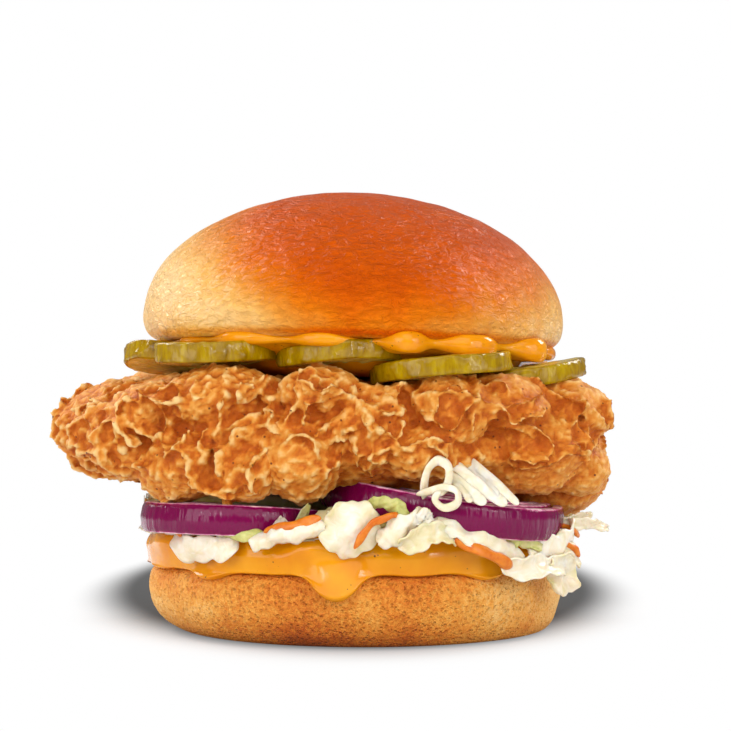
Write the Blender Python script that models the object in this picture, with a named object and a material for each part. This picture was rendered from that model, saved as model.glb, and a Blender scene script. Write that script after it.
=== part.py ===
"""Chicken burger: a glazed bun around pickles, a fried fillet, red onion, slaw and two layers of sauce.

Lengths below are millimetres, and MM turns them into Blender's metres.
+Z is up, -Y is the front of the burger and the origin is the middle of the heel's flat base.
Each layer is a stack of closed rings round the Z axis, from a pole underneath to a pole on top.
"""

import math

import bpy
from mathutils import Matrix, Vector, noise

MM = 0.001
GAP = 0.4
LAYER_SEGMENTS = 54
SLICE_SEGMENTS = 32
ONION_SEGMENTS = 40

# Heel: the lower half of the bun.
HEEL_RADIUS = 54.0
HEEL_FOOT_RADIUS = 43.0
HEEL_HEIGHT = 18.0
HEEL_FOOT_SHIFT = 2.4

# Crown: the upper half of the bun, tipped down to the right.
CROWN_RADIUS = 54.6
CROWN_HEIGHT = 39.5
CROWN_WIDEST_HEIGHT = 5.6
CROWN_FLOOR = 73.1
CROWN_TILT = math.radians(1.5)

# Fillet: the fried chicken, wider than the bun.
FILLET_CENTRE = (-5.4, -2.5)
FILLET_HALF_LENGTH = 72.4
FILLET_HALF_WIDTH = 54.5
FILLET_TOP = 65.8
FILLET_BOTTOM = 35.6

# Sauce under the slaw and sauce under the crown.
LOWER_SAUCE_THICKNESS = 5.0
UPPER_SAUCE_RADIUS = 47.0
UPPER_SAUCE_BOTTOM = 69.8
# Drips of the lower sauce: bearing from +X in degrees, half-width in degrees, depth down the heel.
DRIPS = (
    (-95, 9, 8.6),
    (-131, 9, 5.0),
    (-52, 10, 3.6),
    (-75, 12, 1.2),
    (-160, 14, 1.6),
    (-12, 12, 1.4),
    (38, 9, 5.4),
    (84, 10, 3.4),
    (122, 8, 6.6),
    (160, 11, 2.6),
)

# A slice is centre (x, y, height of its upper face), radius, thickness, rise towards +X, rise towards +Y.
ONIONS = {
    "onion_left": ((-29.3, -28.0, 33.1), 22.2, 7.3, -0.055, -0.04),
    "onion_right": ((21.8, -21.5, 36.7), 30.5, 7.8, -0.1407, 0.04),
}
PICKLES = {
    "pickle_far_left": ((-46.0, -5.5, 71.6), 13.6, 4.0, -0.06, -0.12),
    "pickle_left": ((-33.5, -34.0, 72.0), 14.8, 4.1, 0.02, -0.02),
    "pickle_middle": ((-3.2, -36.0, 71.5), 15.0, 3.8, 0.035, -0.03),
    "pickle_front_right": ((20.5, -37.0, 68.6), 17.0, 3.8, 0.1176, 0.03),
    "pickle_right": ((39.5, -20.0, 66.7), 15.5, 3.8, 0.15, 0.03),
    "pickle_back_left": ((-24.0, 33.0, 71.3), 15.6, 4.0, 0.01, 0.02),
    "pickle_back_right": ((21.0, 34.0, 70.6), 16.2, 4.0, -0.03, 0.0),
}

# Colours as linear red, green and blue, with roughness.
FINISHES = {
    "baked_crown": ((0.72, 0.22, 0.03), 0.32),
    "baked_heel": ((0.74, 0.34, 0.08), 0.6),
    "cheddar_sauce": ((0.80, 0.33, 0.02), 0.2),
    "slaw": ((0.78, 0.74, 0.52), 0.35),
    "red_onion": ((0.19, 0.004, 0.07), 0.22),
    "fried_crust": ((0.66, 0.27, 0.07), 0.55),
    "pickle": ((0.30, 0.27, 0.02), 0.25),
}


def clear_scene():
    for obj in list(bpy.data.objects):
        bpy.data.objects.remove(obj)


def finish(name):
    """The Principled material of that name, made once."""
    found = bpy.data.materials.get(name)
    if found:
        return found
    colour, roughness = FINISHES[name]
    material = bpy.data.materials.new(name)
    material.use_nodes = True
    shader = material.node_tree.nodes["Principled BSDF"]
    shader.inputs["Base Color"].default_value = (*colour, 1.0)
    shader.inputs["Roughness"].default_value = roughness
    return material


def ring_solid(name, finish_name, rings, low_pole, high_pole, place=Matrix()):
    """A closed object from rings of points, anticlockwise seen from above, from underneath to the top."""
    count = len(rings[0])
    points = [Vector(low_pole)]
    for ring in rings:
        points.extend(Vector(p) for p in ring)
    points.append(Vector(high_pole))
    last = len(points) - 1
    faces = []
    for j in range(count):
        k = (j + 1) % count
        faces.append((0, 1 + k, 1 + j))
        for level in range(len(rings) - 1):
            low, high = 1 + level * count, 1 + (level + 1) * count
            faces.append((low + j, low + k, high + k, high + j))
        top = 1 + (len(rings) - 1) * count
        faces.append((top + j, top + k, last))
    mesh = bpy.data.meshes.new(name)
    mesh.from_pydata([p * MM for p in points], [], faces)
    mesh.shade_smooth()
    obj = bpy.data.objects.new(name, mesh)
    obj.data.materials.append(finish(finish_name))
    obj.matrix_world = place
    bpy.context.scene.collection.objects.link(obj)
    return obj


def bearings(count):
    return [2 * math.pi * j / count for j in range(count)]


def around(radius, height, bearing, centre=(0.0, 0.0)):
    return (
        centre[0] + radius * math.cos(bearing),
        centre[1] + radius * math.sin(bearing),
        height,
    )


def waver(bearing, seed):
    """A smooth uneven value from about -1 to 1 that closes on itself round the circle."""
    return sum(math.sin(n * bearing + seed * n * 1.7) / n for n in (2, 3, 5, 7)) / 1.1


def drip_depth(bearing):
    """How far the lower sauce hangs down the heel's side at this bearing."""
    depth = 0.0
    for middle, half_width, reach in DRIPS:
        away = math.remainder(bearing - math.radians(middle), 2 * math.pi)
        depth += reach * math.exp(-((away / math.radians(half_width)) ** 2))
    return depth


# ---- the bun ----

HEEL_SIDE = (
    (HEEL_FOOT_RADIUS, 0.0),
    (48.6, 1.0),
    (51.8, 4.2),
    (53.4, 8.0),
    (HEEL_RADIUS, 12.0),
    (53.6, 15.0),
    (52.2, 17.2),
    (49.6, HEEL_HEIGHT),
)


def heel_shift(height):
    """The foot sits a little to the right of the rim."""
    return HEEL_FOOT_SHIFT * max(0.0, 1 - height / 9.0) ** 2


def make_heel():
    rings = []
    for radius, height in HEEL_SIDE:
        swell = 0.5 if height > 0 else 0.0
        rings.append(
            [
                around(radius + swell * waver(a, 1), height, a, (heel_shift(height), 0.0))
                for a in bearings(LAYER_SEGMENTS)
            ]
        )
    rings.append([around(26.0, HEEL_HEIGHT, a) for a in bearings(LAYER_SEGMENTS)])
    ring_solid("heel", "baked_heel", rings, (HEEL_FOOT_SHIFT, 0, 0), (0, 0, HEEL_HEIGHT))


def crown_dome(share):
    """(radius, height) on the dome, from the widest point at share 0 to nearly the top at share 1."""
    angle = share * math.pi / 2
    rise = CROWN_HEIGHT - CROWN_WIDEST_HEIGHT
    return (
        CROWN_RADIUS * math.cos(angle) ** 1.03,
        CROWN_WIDEST_HEIGHT + rise * math.sin(angle) ** 1.03,
    )


def make_crown():
    underside = [(26.0, 0.0), (49.6, 0.0), (52.6, 0.6), (54.0, 2.6)]
    dome = [crown_dome(s) for s in (0.0, 0.1, 0.22, 0.35, 0.48, 0.62, 0.76, 0.89)]
    rings = []
    for radius, height in underside + dome:
        swell = 0.5 * min(1.0, height / 3.0) * radius / CROWN_RADIUS
        rings.append([around(radius + swell * waver(a, 4), height, a) for a in bearings(LAYER_SEGMENTS)])
    place = Matrix.Translation(Vector((-0.7, 0, CROWN_FLOOR)) * MM) @ Matrix.Rotation(CROWN_TILT, 4, "Y")
    ring_solid("crown", "baked_crown", rings, (0, 0, 0), (0, 0, CROWN_HEIGHT), place)


def crown_floor(x):
    """Height of the crown's underside at x."""
    return CROWN_FLOOR - math.tan(CROWN_TILT) * (x + 0.7)


# ---- sauce ----


def heel_side_at(depth):
    """(radius, height, outward slant) on the heel's side, this far down from its upper edge."""
    path = HEEL_SIDE[::-1]
    for (r0, z0), (r1, z1) in zip(path, path[1:]):
        step = math.hypot(r1 - r0, z1 - z0)
        if depth <= step:
            share = depth / step
            normal = Vector((z0 - z1, r1 - r0)) / step
            return r0 + share * (r1 - r0), z0 + share * (z1 - z0), normal
        depth -= step
    raise ValueError("deeper than the heel's side")


def make_lower_sauce():
    """A thick blanket on the heel whose hem hangs over the edge in drips."""
    hem_shares = (0.0, 0.35, 0.7, 1.0)
    start = 1.6
    top = HEEL_HEIGHT + GAP + LOWER_SAUCE_THICKNESS
    inner = {share: [] for share in hem_shares}
    outer = {share: [] for share in hem_shares}
    for a in bearings(LAYER_SEGMENTS):
        reach = start + 1.0 + drip_depth(a) + 0.4 * waver(a, 3)
        for share in hem_shares:
            radius, height, normal = heel_side_at(start + share * (reach - start))
            radius += 0.5 * waver(a, 1)
            skin = GAP + 0.2
            inner[share].append(around(radius + skin * normal[0], height + skin * normal[1], a))
            thick = skin + (1.4 + 1.2 * (1 - share))
            outer[share].append(around(radius + thick * normal[0], height + thick * normal[1], a))
    rings = [[around(48.0, HEEL_HEIGHT + GAP + 0.1, a) for a in bearings(LAYER_SEGMENTS)]]
    rings += [inner[share] for share in hem_shares]
    rings += [outer[share] for share in hem_shares[::-1]]
    for radius, height in ((54.3, top - 3.0), (52.6, top - 1.2), (49.5, top - 0.2), (26.0, top)):
        rings.append([around(radius + 0.7 * waver(a, 3), height, a) for a in bearings(LAYER_SEGMENTS)])
    ring_solid("lower_sauce", "cheddar_sauce", rings, (0, 0, HEEL_HEIGHT + GAP), (0, 0, top))


def make_upper_sauce(cutters):
    """A spread under the crown that sags between the pickles and lies over them."""
    rings = []
    for share, lift in ((0.5, 0.0), (0.9, 0.1), (0.985, 0.7), (1.0, 1.6), (0.99, None), (0.5, None)):
        ring = []
        for a in bearings(LAYER_SEGMENTS):
            radius = share * (UPPER_SAUCE_RADIUS + 2.2 * waver(a, 6))
            x, y, _ = around(radius, 0, a)
            height = crown_floor(x) - GAP
            if lift is not None:
                height = min(UPPER_SAUCE_BOTTOM + lift, height - 0.3)
            ring.append((x, y, height))
        rings.append(ring)
    low, high = (0, 0, UPPER_SAUCE_BOTTOM), (0, 0, crown_floor(0) - GAP)
    cut_away(ring_solid("upper_sauce", "cheddar_sauce", rings, low, high), cutters)


# ---- slices and leaves ----


def slice_place(centre, rise_x, rise_y, turn=0.0):
    """Frame of a slice: its own Z is the upper face's normal, and its origin the upper face's middle."""
    normal = Vector((-rise_x, -rise_y, 1.0)).normalized()
    side = Vector((1.0, 0.0, rise_x)).normalized()
    across = normal.cross(side)
    frame = Matrix((side, across, normal)).transposed().to_4x4()
    return Matrix.Translation(Vector(centre) * MM) @ frame @ Matrix.Rotation(turn, 4, "Z")


def slice_rings(radius, thickness, segments, seed, flare, grow):
    """Rings of a cut round slice, its rim bulged outwards, thicker and wider by grow all over."""
    rows = (
        (0.55, 1.0),
        (1.0 - flare, 1.0),
        (1.012, 0.5),
        (1.0 + flare, 0.0),
        (0.55, 0.0),
    )
    rings = []
    for share, depth in rows:
        height = grow - depth * (thickness + 2 * grow)
        edge = grow if share > 0.9 else 0.0
        rings.append(
            [
                around(share * radius * (1 + 0.02 * waver(a, seed)) + edge, height, a)
                for a in bearings(segments)
            ]
        )
    return rings


def make_slices(table, finish_name, segments, flares, grow=0.0):
    """One solid for each slice in the table, or with grow its cutter, which leaves that clearance."""
    made = []
    for seed, (name, (centre, radius, thickness, rise_x, rise_y)) in enumerate(table.items()):
        rings = slice_rings(radius, thickness, segments, seed, flares[seed % len(flares)], grow)
        place = slice_place(centre, rise_x, rise_y)
        low, high = (0, 0, -thickness - grow), (0, 0, grow)
        obj = ring_solid(f"{name}_cutter" if grow else name, finish_name, rings, low, high, place)
        if grow:
            as_cutter(obj)
        made.append(obj)
    return made


def as_cutter(obj):
    obj.hide_render = True
    obj.display_type = "WIRE"


def cut_away(obj, cutters):
    for cutter in cutters:
        cut = obj.modifiers.new(f"clear of {cutter.name}", "BOOLEAN")
        cut.operation = "DIFFERENCE"
        cut.object = cutter


def make_leaf(name, centre, size, rise, turn, bend):
    """A torn piece of cabbage: a thin bent plate that stands with its face towards bearing turn."""
    half_width, half_height = size
    thickness = 1.3
    rings = []
    for share, depth in ((0.6, thickness), (1.0, thickness), (1.0, 0.0), (0.6, 0.0)):
        ring = []
        for a in bearings(SLICE_SEGMENTS):
            u = share * half_width * math.cos(a) * (1 + 0.17 * waver(a, rise))
            v = share * half_height * math.sin(a) * (1 + 0.17 * waver(a, rise + 2))
            ring.append((u, v, -depth - bend * (u * u + v * v)))
        rings.append(ring)
    stand = Matrix.Rotation(turn, 4, "Z") @ Matrix.Rotation(math.radians(90 - rise), 4, "X")
    place = Matrix.Translation(Vector(centre) * MM) @ stand
    ring_solid(name, "slaw", rings, (0, 0, -thickness), (0, 0, 0), place)


# ---- slaw ----


def onion_middle(name, x, y):
    """Height of a slice's middle plane at (x, y), and how far that point lies outside its rim."""
    (cx, cy, top), radius, thickness, rise_x, rise_y = ONIONS[name]
    height = top - thickness / 2 + rise_x * (x - cx) + rise_y * (y - cy)
    return height, math.hypot(x - cx, y - cy) - radius


def slaw_top(x, y):
    """The heap reaches the fillet beside the onions, and only their middle plane beneath them."""
    free = FILLET_BOTTOM - 1.6 - 0.05 * max(0.0, x)
    height = free
    for name in ONIONS:
        middle, outside = onion_middle(name, x, y)
        share = min(1.0, max(0.0, outside / 5.0))
        height = min(height, middle + share * (free - middle) if middle < free else free)
    return height


def make_slaw(cutters):
    """The heap of slaw, out to its uneven outline, with the onions let into it."""
    bottom = HEEL_HEIGHT + LOWER_SAUCE_THICKNESS + 2 * GAP
    shares = (0.25, 0.5, 0.75, 0.93, 1.0)
    rings = []
    for share in shares[:-1]:
        rings.append([around(share * slaw_radius(a), bottom, a) for a in bearings(LAYER_SEGMENTS)])
    rings.append([around(slaw_radius(a), bottom + 0.9, a) for a in bearings(LAYER_SEGMENTS)])
    for share in shares[::-1]:
        ring = []
        for a in bearings(LAYER_SEGMENTS):
            x, y, _ = around(share * slaw_radius(a), 0, a)
            height = slaw_top(x, y) - (1.4 if share == 1.0 else 0.0)
            ring.append((x, y, max(height, bottom + 1.3)))
        rings.append(ring)
    heap = ring_solid("slaw", "slaw", rings, (0, 0, bottom), (0, 0, slaw_top(0, 0)))
    cut_away(heap, cutters)


def slaw_radius(bearing):
    return 49.6 + 1.2 * waver(bearing, 9)


def make_slaw_tuft(grow=0.0):
    """The curl of cabbage on the right onion, under the fillet's edge."""
    centre, _, _, rise_x, rise_y = ONIONS["onion_right"]
    half_length, half_width, height = 12.0 + grow, 8.0 + grow, 6.6 + 2 * grow
    floor = GAP - grow
    rings = []
    for share in (1.0, 0.96, 0.8, 0.5):
        lift = floor + height * math.sqrt(1 - share**2) + (0.0 if share == 1.0 else 0.6)
        along, across = share * half_length, share * half_width
        rings.append(
            [(3.4 + along * math.cos(a), -19.6 + across * math.sin(a), lift) for a in bearings(SLICE_SEGMENTS)]
        )
    place = slice_place(centre, rise_x, rise_y)
    name = "slaw_tuft_cutter" if grow else "slaw_tuft"
    obj = ring_solid(name, "slaw", rings, (3.4, -19.6, floor), (3.4, -19.6, floor + height + 0.6), place)
    if grow:
        as_cutter(obj)
    return obj


# ---- fillet ----


def fillet_radius(bearing):
    """Distance from the fillet's middle to its outline: a rounded oblong with lumps."""
    c, s = abs(math.cos(bearing)) / FILLET_HALF_LENGTH, abs(math.sin(bearing)) / FILLET_HALF_WIDTH
    return (c**2.3 + s**2.3) ** (-1 / 2.3) * (1 + 0.022 * waver(bearing, 12))


def fillet_widest(bearing):
    """Height at which the side stands out furthest: high at the left tip, low on the right."""
    return 46.8 - 5.0 * math.cos(bearing)


def fillet_point(bearing, share, upper):
    radius = share * fillet_radius(bearing)
    x, y, _ = around(radius, 0, bearing, FILLET_CENTRE)
    lump = noise.noise(Vector((x, y, 40.0 if upper else 0.0)) / 14.0)
    if upper:
        limit = FILLET_TOP - 0.045 * x + 1.3 * lump
    else:
        limit = FILLET_BOTTOM - 0.045 * max(0.0, x) + 1.0 * lump
    widest = fillet_widest(bearing)
    fullness = (1 - share**6) ** 0.62
    return x, y, widest + fullness * (limit - widest)


def make_fillet(cutters):
    shares = (0.22, 0.44, 0.64, 0.8, 0.91, 0.97)
    rings = [[fillet_point(a, s, False) for a in bearings(LAYER_SEGMENTS)] for s in shares]
    rings.append([fillet_point(a, 1.0, True) for a in bearings(LAYER_SEGMENTS)])
    rings += [[fillet_point(a, s, True) for a in bearings(LAYER_SEGMENTS)] for s in shares[::-1]]
    low, high = fillet_point(0, 0, False), fillet_point(0, 0, True)
    cut_away(ring_solid("fillet", "fried_crust", rings, low, high), cutters)


def main():
    clear_scene()
    make_heel()
    make_lower_sauce()
    onion_flares = (-0.035, 0.02)
    pickle_flares = (0.01, -0.01, 0.015)
    make_slices(ONIONS, "red_onion", ONION_SEGMENTS, onion_flares)
    make_slices(PICKLES, "pickle", SLICE_SEGMENTS, pickle_flares)
    onion_cutters = make_slices(ONIONS, "red_onion", ONION_SEGMENTS, onion_flares, GAP)
    pickle_cutters = make_slices(PICKLES, "pickle", SLICE_SEGMENTS, pickle_flares, GAP)
    make_slaw(onion_cutters)
    make_slaw_tuft()
    make_leaf("cabbage_leaf_front", (-0.8, -56.6, 29.0), (5.8, 6.6), 8.0, 0.05, 0.01)
    make_leaf("cabbage_leaf_right", (50.4, -33.8, 16.8), (7.4, 5.4), 6.0, 0.72, 0.012)
    make_fillet(onion_cutters + pickle_cutters + [make_slaw_tuft(GAP)])
    make_upper_sauce(pickle_cutters)
    make_crown()


main()
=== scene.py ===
"""Looks of the chicken burger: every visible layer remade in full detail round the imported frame.

Lengths are millimetres, and MM turns them into metres. +Z is up and -Y is the front of the burger.
Random shapes come from seeded generators, so each run gives the same burger.
"""

import functools
import itertools
import math

import bpy
import numpy as np
from mathutils import Matrix, Vector
from mathutils.bvhtree import BVHTree


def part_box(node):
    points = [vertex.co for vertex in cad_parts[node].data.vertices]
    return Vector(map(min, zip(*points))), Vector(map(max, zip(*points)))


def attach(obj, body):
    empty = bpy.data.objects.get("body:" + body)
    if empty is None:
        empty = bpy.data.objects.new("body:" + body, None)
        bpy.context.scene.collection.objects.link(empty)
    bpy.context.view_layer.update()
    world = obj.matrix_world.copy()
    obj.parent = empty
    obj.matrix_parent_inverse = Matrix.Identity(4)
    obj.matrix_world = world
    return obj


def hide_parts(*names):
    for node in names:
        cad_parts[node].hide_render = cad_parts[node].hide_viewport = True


MM = 0.001
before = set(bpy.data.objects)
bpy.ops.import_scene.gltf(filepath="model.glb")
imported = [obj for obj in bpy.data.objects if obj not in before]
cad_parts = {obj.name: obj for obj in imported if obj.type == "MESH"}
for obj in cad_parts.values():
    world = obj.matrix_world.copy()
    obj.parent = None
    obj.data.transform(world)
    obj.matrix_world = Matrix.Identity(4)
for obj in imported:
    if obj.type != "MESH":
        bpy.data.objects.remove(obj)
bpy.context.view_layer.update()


@functools.cache
def span(node):
    """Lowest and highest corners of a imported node, in millimetres."""
    low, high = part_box(node)
    return np.array(low) / MM, np.array(high) / MM


def middle(node):
    low, high = span(node)
    return (low + high) / 2


# ---- numbers and surfaces ----


def smooth_step(low, high, value):
    share = np.clip((value - low) / (high - low), 0.0, 1.0)
    return share * share * (3 - 2 * share)


def unit(vectors):
    return vectors / np.maximum(np.linalg.norm(vectors, axis=-1, keepdims=True), 1e-9)


def grain_noise(points, size, seed=0):
    """Smooth uneven values from about -1 to 1 whose lumps are size millimetres across."""
    scaled = np.asarray(points, float) / size + seed * 17.31
    cell = np.floor(scaled).astype(np.int64)
    inside = scaled - cell
    ease = inside**3 * (inside * (inside * 6 - 15) + 10)
    total = np.zeros(scaled.shape[:-1])
    for corner in itertools.product((0, 1), repeat=3):
        at = cell + np.array(corner)
        # These multipliers hash the cell into three slopes that look random.
        key = at[..., 0] * 73856093 ^ at[..., 1] * 19349663 ^ at[..., 2] * 83492791
        key = (key & 0xFFFFFFFF) * 1274126177 & 0xFFFFFFFF
        key = (key ^ key >> 15) * 2246822519 & 0xFFFFFFFF
        key ^= key >> 13
        slope = np.stack([key & 1023, key >> 10 & 1023, key >> 20 & 1023], -1) / 511.5 - 1
        weight = np.prod(np.where(corner, ease, 1 - ease), axis=-1)
        total += weight * np.sum(slope * (inside - corner), axis=-1)
    return total * 1.25


def drift(points, size, seed):
    """Uneven values along all three axes at once."""
    return np.stack([grain_noise(points, size, seed + axis) for axis in range(3)], -1)


def polar(radius, bearing, height):
    across = radius * np.cos(bearing), radius * np.sin(bearing)
    return np.stack(np.broadcast_arrays(*across, height), -1)


def turns(count):
    return np.linspace(0, 2 * math.pi, count, endpoint=False)


def eased(path, rounds):
    """A path whose inner points are averaged with their neighbours this many times."""
    for _ in range(rounds):
        path[1:-1] = (path[:-2] + 2 * path[1:-1] + path[2:]) / 4
    return path


def drawn_out(line, points_each):
    """A line of few points with many on straight steps between them."""
    line = np.array(line, float)
    steps = np.linspace(0, len(line) - 1, points_each * len(line))
    return np.stack([np.interp(steps, range(len(line)), values) for values in line.T], -1)


def taper(share, power, least):
    """1 along the middle of a length and least at both of its ends."""
    return np.sqrt(np.clip(1 - (2 * share - 1) ** power, least, 1))


def ring_faces(rows, columns, closed_rows=False):
    """Quads of a grid whose columns close on themselves, with its points stored row by row."""
    row = np.arange(rows if closed_rows else rows - 1)[:, None]
    column = np.arange(columns)[None, :]
    above, beside = (row + 1) % rows, (column + 1) % columns
    corners = (row * columns + column, row * columns + beside)
    corners += (above * columns + beside, above * columns + column)
    return np.stack(np.broadcast_arrays(*corners), -1).reshape(-1, 4)


def capped(rings):
    """Points and faces of a closed body from rings of points, with a middle point at each end."""
    rows, columns, _ = rings.shape
    points = np.concatenate([rings.reshape(-1, 3), [rings[0].mean(0)], [rings[-1].mean(0)]])
    faces = ring_faces(rows, columns).tolist()
    low, high, last = rows * columns, rows * columns + 1, (rows - 1) * columns
    for j in range(columns):
        k = (j + 1) % columns
        faces += [(low, k, j), (high, last + j, last + k)]
    return points, faces


def plate(grid, thickness):
    """Points and faces of a thin closed body round a grid of points in rows and columns."""
    rows, columns, _ = grid.shape
    normal = unit(np.cross(np.gradient(grid, axis=1), np.gradient(grid, axis=0)))
    half = thickness[..., None] / 2 * normal
    points = np.concatenate([(grid + half).reshape(-1, 3), (grid - half).reshape(-1, 3)])
    count = rows * columns
    faces = []
    for i, j in itertools.product(range(rows - 1), range(columns - 1)):
        a, d = i * columns + j, (i + 1) * columns + j
        faces += [(d, d + 1, a + 1, a), (count + a, count + a + 1, count + d + 1, count + d)]
    rim = list(range(columns)) + [i * columns + columns - 1 for i in range(1, rows)]
    rim += [(rows - 1) * columns + j for j in range(columns - 2, -1, -1)]
    rim += [i * columns for i in range(rows - 2, 0, -1)]
    for a, b in zip(rim, rim[1:] + rim[:1]):
        faces.append((a, b, count + b, count + a))
    return points, faces


def strand(path, width, thickness, up, sides=8):
    """Points and faces of a long body with a flattened round section, which faces up."""
    along = unit(np.gradient(path, axis=0))
    side = unit(np.cross(along, up))
    out = np.cross(side, along)
    bearing = turns(sides)
    wide = side[:, None] * (width[:, None] * np.cos(bearing))[..., None]
    thick = out[:, None] * (thickness[:, None] * np.sin(bearing))[..., None]
    return capped(path[:, None] + 0.5 * (wide + thick))


def joined(bodies):
    """One set of points and faces from many."""
    points, faces, start = [], [], 0
    for body_points, body_faces in bodies:
        points.append(body_points)
        faces += [tuple(i + start for i in face) for face in body_faces]
        start += len(body_points)
    return np.concatenate(points), faces


def new_mesh(name, points, faces):
    mesh = bpy.data.meshes.new(name)
    mesh.from_pydata((np.asarray(points) * MM).tolist(), [], [tuple(f) for f in faces])
    mesh.shade_smooth()
    return mesh


def put(name, data):
    """A new object in the scene."""
    made = bpy.data.objects.new(name, data)
    bpy.context.scene.collection.objects.link(made)
    return made


def serve(name, body, material, slot, *stands_for, **painted):
    """The finished piece in the scene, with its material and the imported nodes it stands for.

    body is a mesh, or points and faces. Each painted value is one number for each point, which
    the material reads by its name.
    """
    mesh = new_mesh(name, *body) if isinstance(body, tuple) else body
    for key, value in painted.items():
        layer = mesh.attributes.new(key, "FLOAT", "POINT")
        layer.data.foreach_set("value", np.ascontiguousarray(value, dtype=np.float32))
    mesh.materials.clear()
    mesh.materials.append(material)
    piece = put(name, mesh)
    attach(piece, "root")
    if stands_for:
        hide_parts(*stands_for)


def mesh_points(mesh):
    flat = np.empty(len(mesh.vertices) * 3, np.float32)
    mesh.vertices.foreach_get("co", flat)
    return flat.reshape(-1, 3).astype(float) / MM


def mesh_normals(mesh):
    flat = np.empty(len(mesh.vertices) * 3, np.float32)
    mesh.vertex_normals.foreach_get("vector", flat)
    return flat.reshape(-1, 3).astype(float)


def softened(mesh, points, rounds):
    """The points averaged with their neighbours this many times."""
    ends = np.empty(len(mesh.edges) * 2, np.int32)
    mesh.edges.foreach_get("vertices", ends)
    a, b = ends[::2], ends[1::2]
    many = len(points)
    count = np.bincount(a, minlength=many) + np.bincount(b, minlength=many)
    for _ in range(rounds):
        total = [np.bincount(a, axis[b], many) + np.bincount(b, axis[a], many) for axis in points.T]
        points = np.stack(total, -1) / count[:, None]
    return points


def welded(name, bodies, voxel):
    """One skin round many overlapping bodies, with points about voxel millimetres apart."""
    rough = put(name, new_mesh(name, *joined(bodies)))
    remesh = rough.modifiers.new("one skin", "REMESH")
    remesh.mode = "VOXEL"
    remesh.voxel_size = voxel * MM
    settled = rough.evaluated_get(bpy.context.evaluated_depsgraph_get())
    mesh = bpy.data.meshes.new_from_object(settled)
    mesh.shade_smooth()
    bpy.data.objects.remove(rough)
    return mesh


# ---- materials ----


def linear(hex_colour):
    """Linear red, green, blue and alpha of an sRGB hex colour."""
    parts = [int(hex_colour[i : i + 2], 16) / 255 for i in (1, 3, 5)]
    return (*[p / 12.92 if p <= 0.04045 else ((p + 0.055) / 1.055) ** 2.4 for p in parts], 1.0)


def per_mm(size):
    """Scale of a pattern whose repeat is size millimetres, in a material that reads metres."""
    return 1 / (size * MM)


def add(tree, kind, sockets=(), stops=None, **settings):
    """Adds a node: sockets gives each input a value or a link, stops fills a colour ramp."""
    made = tree.nodes.new(f"ShaderNode{kind}")
    for key, value in settings.items():
        setattr(made, key, value)
    for key, value in dict(sockets).items():
        if isinstance(value, bpy.types.NodeSocket):
            tree.links.new(value, made.inputs[key])
        else:
            made.inputs[key].default_value = value
    if stops:
        ramp = made.color_ramp
        while len(ramp.elements) < len(stops):
            ramp.elements.new(1.0)
        for element, (place, colour) in zip(ramp.elements, stops):
            element.position = place
            element.color = linear(colour) if isinstance(colour, str) else (colour, colour, colour, 1)
    return made


def moist(name, roughness, ior, weight, depth, **shader_values):
    """A material whose light sinks in depth millimetres, with its tree, shader and coordinates in metres."""
    material = bpy.data.materials.new(name)
    material.use_nodes = True
    tree = material.node_tree
    shader = tree.nodes["Principled BSDF"]
    shader.inputs["Roughness"].default_value = roughness
    shader.inputs["IOR"].default_value = ior
    shader.inputs["Subsurface Weight"].default_value = weight
    shader.inputs["Subsurface Radius"].default_value = (1.0, 0.55, 0.3)
    shader.inputs["Subsurface Scale"].default_value = depth * MM
    for key, value in shader_values.items():
        shader.inputs[key.replace("_", " ")].default_value = value
    return material, tree, shader, add(tree, "TexCoord").outputs["Object"]


def dress(tree, shader, colour, relief, strength, distance):
    """Gives the shader its colour, and a relief that is distance millimetres deep."""
    bump = add(tree, "Bump", {"Height": relief, "Strength": strength, "Distance": distance * MM})
    tree.links.new(colour, shader.inputs["Base Color"])
    tree.links.new(bump.outputs["Normal"], shader.inputs["Normal"])


def glazed_brioche():
    """Egg-washed brioche: smooth and glossy, nearly chestnut on top and cream low down, and cream also where
    the crown's painted highlight lies on its left and right.
    """
    warm = linear("#ffb060")
    material, tree, shader, coords = moist("Glazed brioche crust", 0.28, 1.32, 0.06, 2, Specular_Tint=warm)
    # The attribute holds the crust's own browning and, on the crown's left and right, painted highlight.
    bake = add(tree, "Attribute", attribute_name="bake").outputs["Fac"]
    blotches = add(tree, "TexNoise", {"Vector": coords, "Scale": per_mm(9), "Detail": 4.0, "Roughness": 0.6})
    baked = add(tree, "Math", {0: blotches.outputs["Fac"], 1: 0.22, 2: bake}, operation="MULTIPLY_ADD")
    browning = ((0.06, "#f5d196"), (0.24, "#edb25e"), (0.44, "#e09034"))
    browning += ((0.66, "#d87008"), (0.88, "#cf5800"), (1.0, "#c44c00"))
    crust = add(tree, "ValToRGB", {"Fac": baked.outputs[0]}, stops=browning)
    lying = add(tree, "Mapping", {"Vector": coords, "Scale": (per_mm(2.6), per_mm(2.6), per_mm(1.3))})
    creases = {"Vector": lying.outputs[0], "Scale": 1.0, "Detail": 4.0, "Roughness": 0.62, "Distortion": 0.8}
    wrinkles = add(tree, "TexNoise", creases).outputs["Fac"]
    dimples = add(tree, "TexNoise", {"Vector": coords, "Scale": per_mm(7), "Detail": 2.0})
    skin = add(tree, "Math", {0: dimples.outputs["Fac"], 1: 1.6, 2: wrinkles}, operation="MULTIPLY_ADD")
    dress(tree, shader, crust.outputs["Color"], skin.outputs[0], 1.0, 1.5)
    return material


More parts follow.
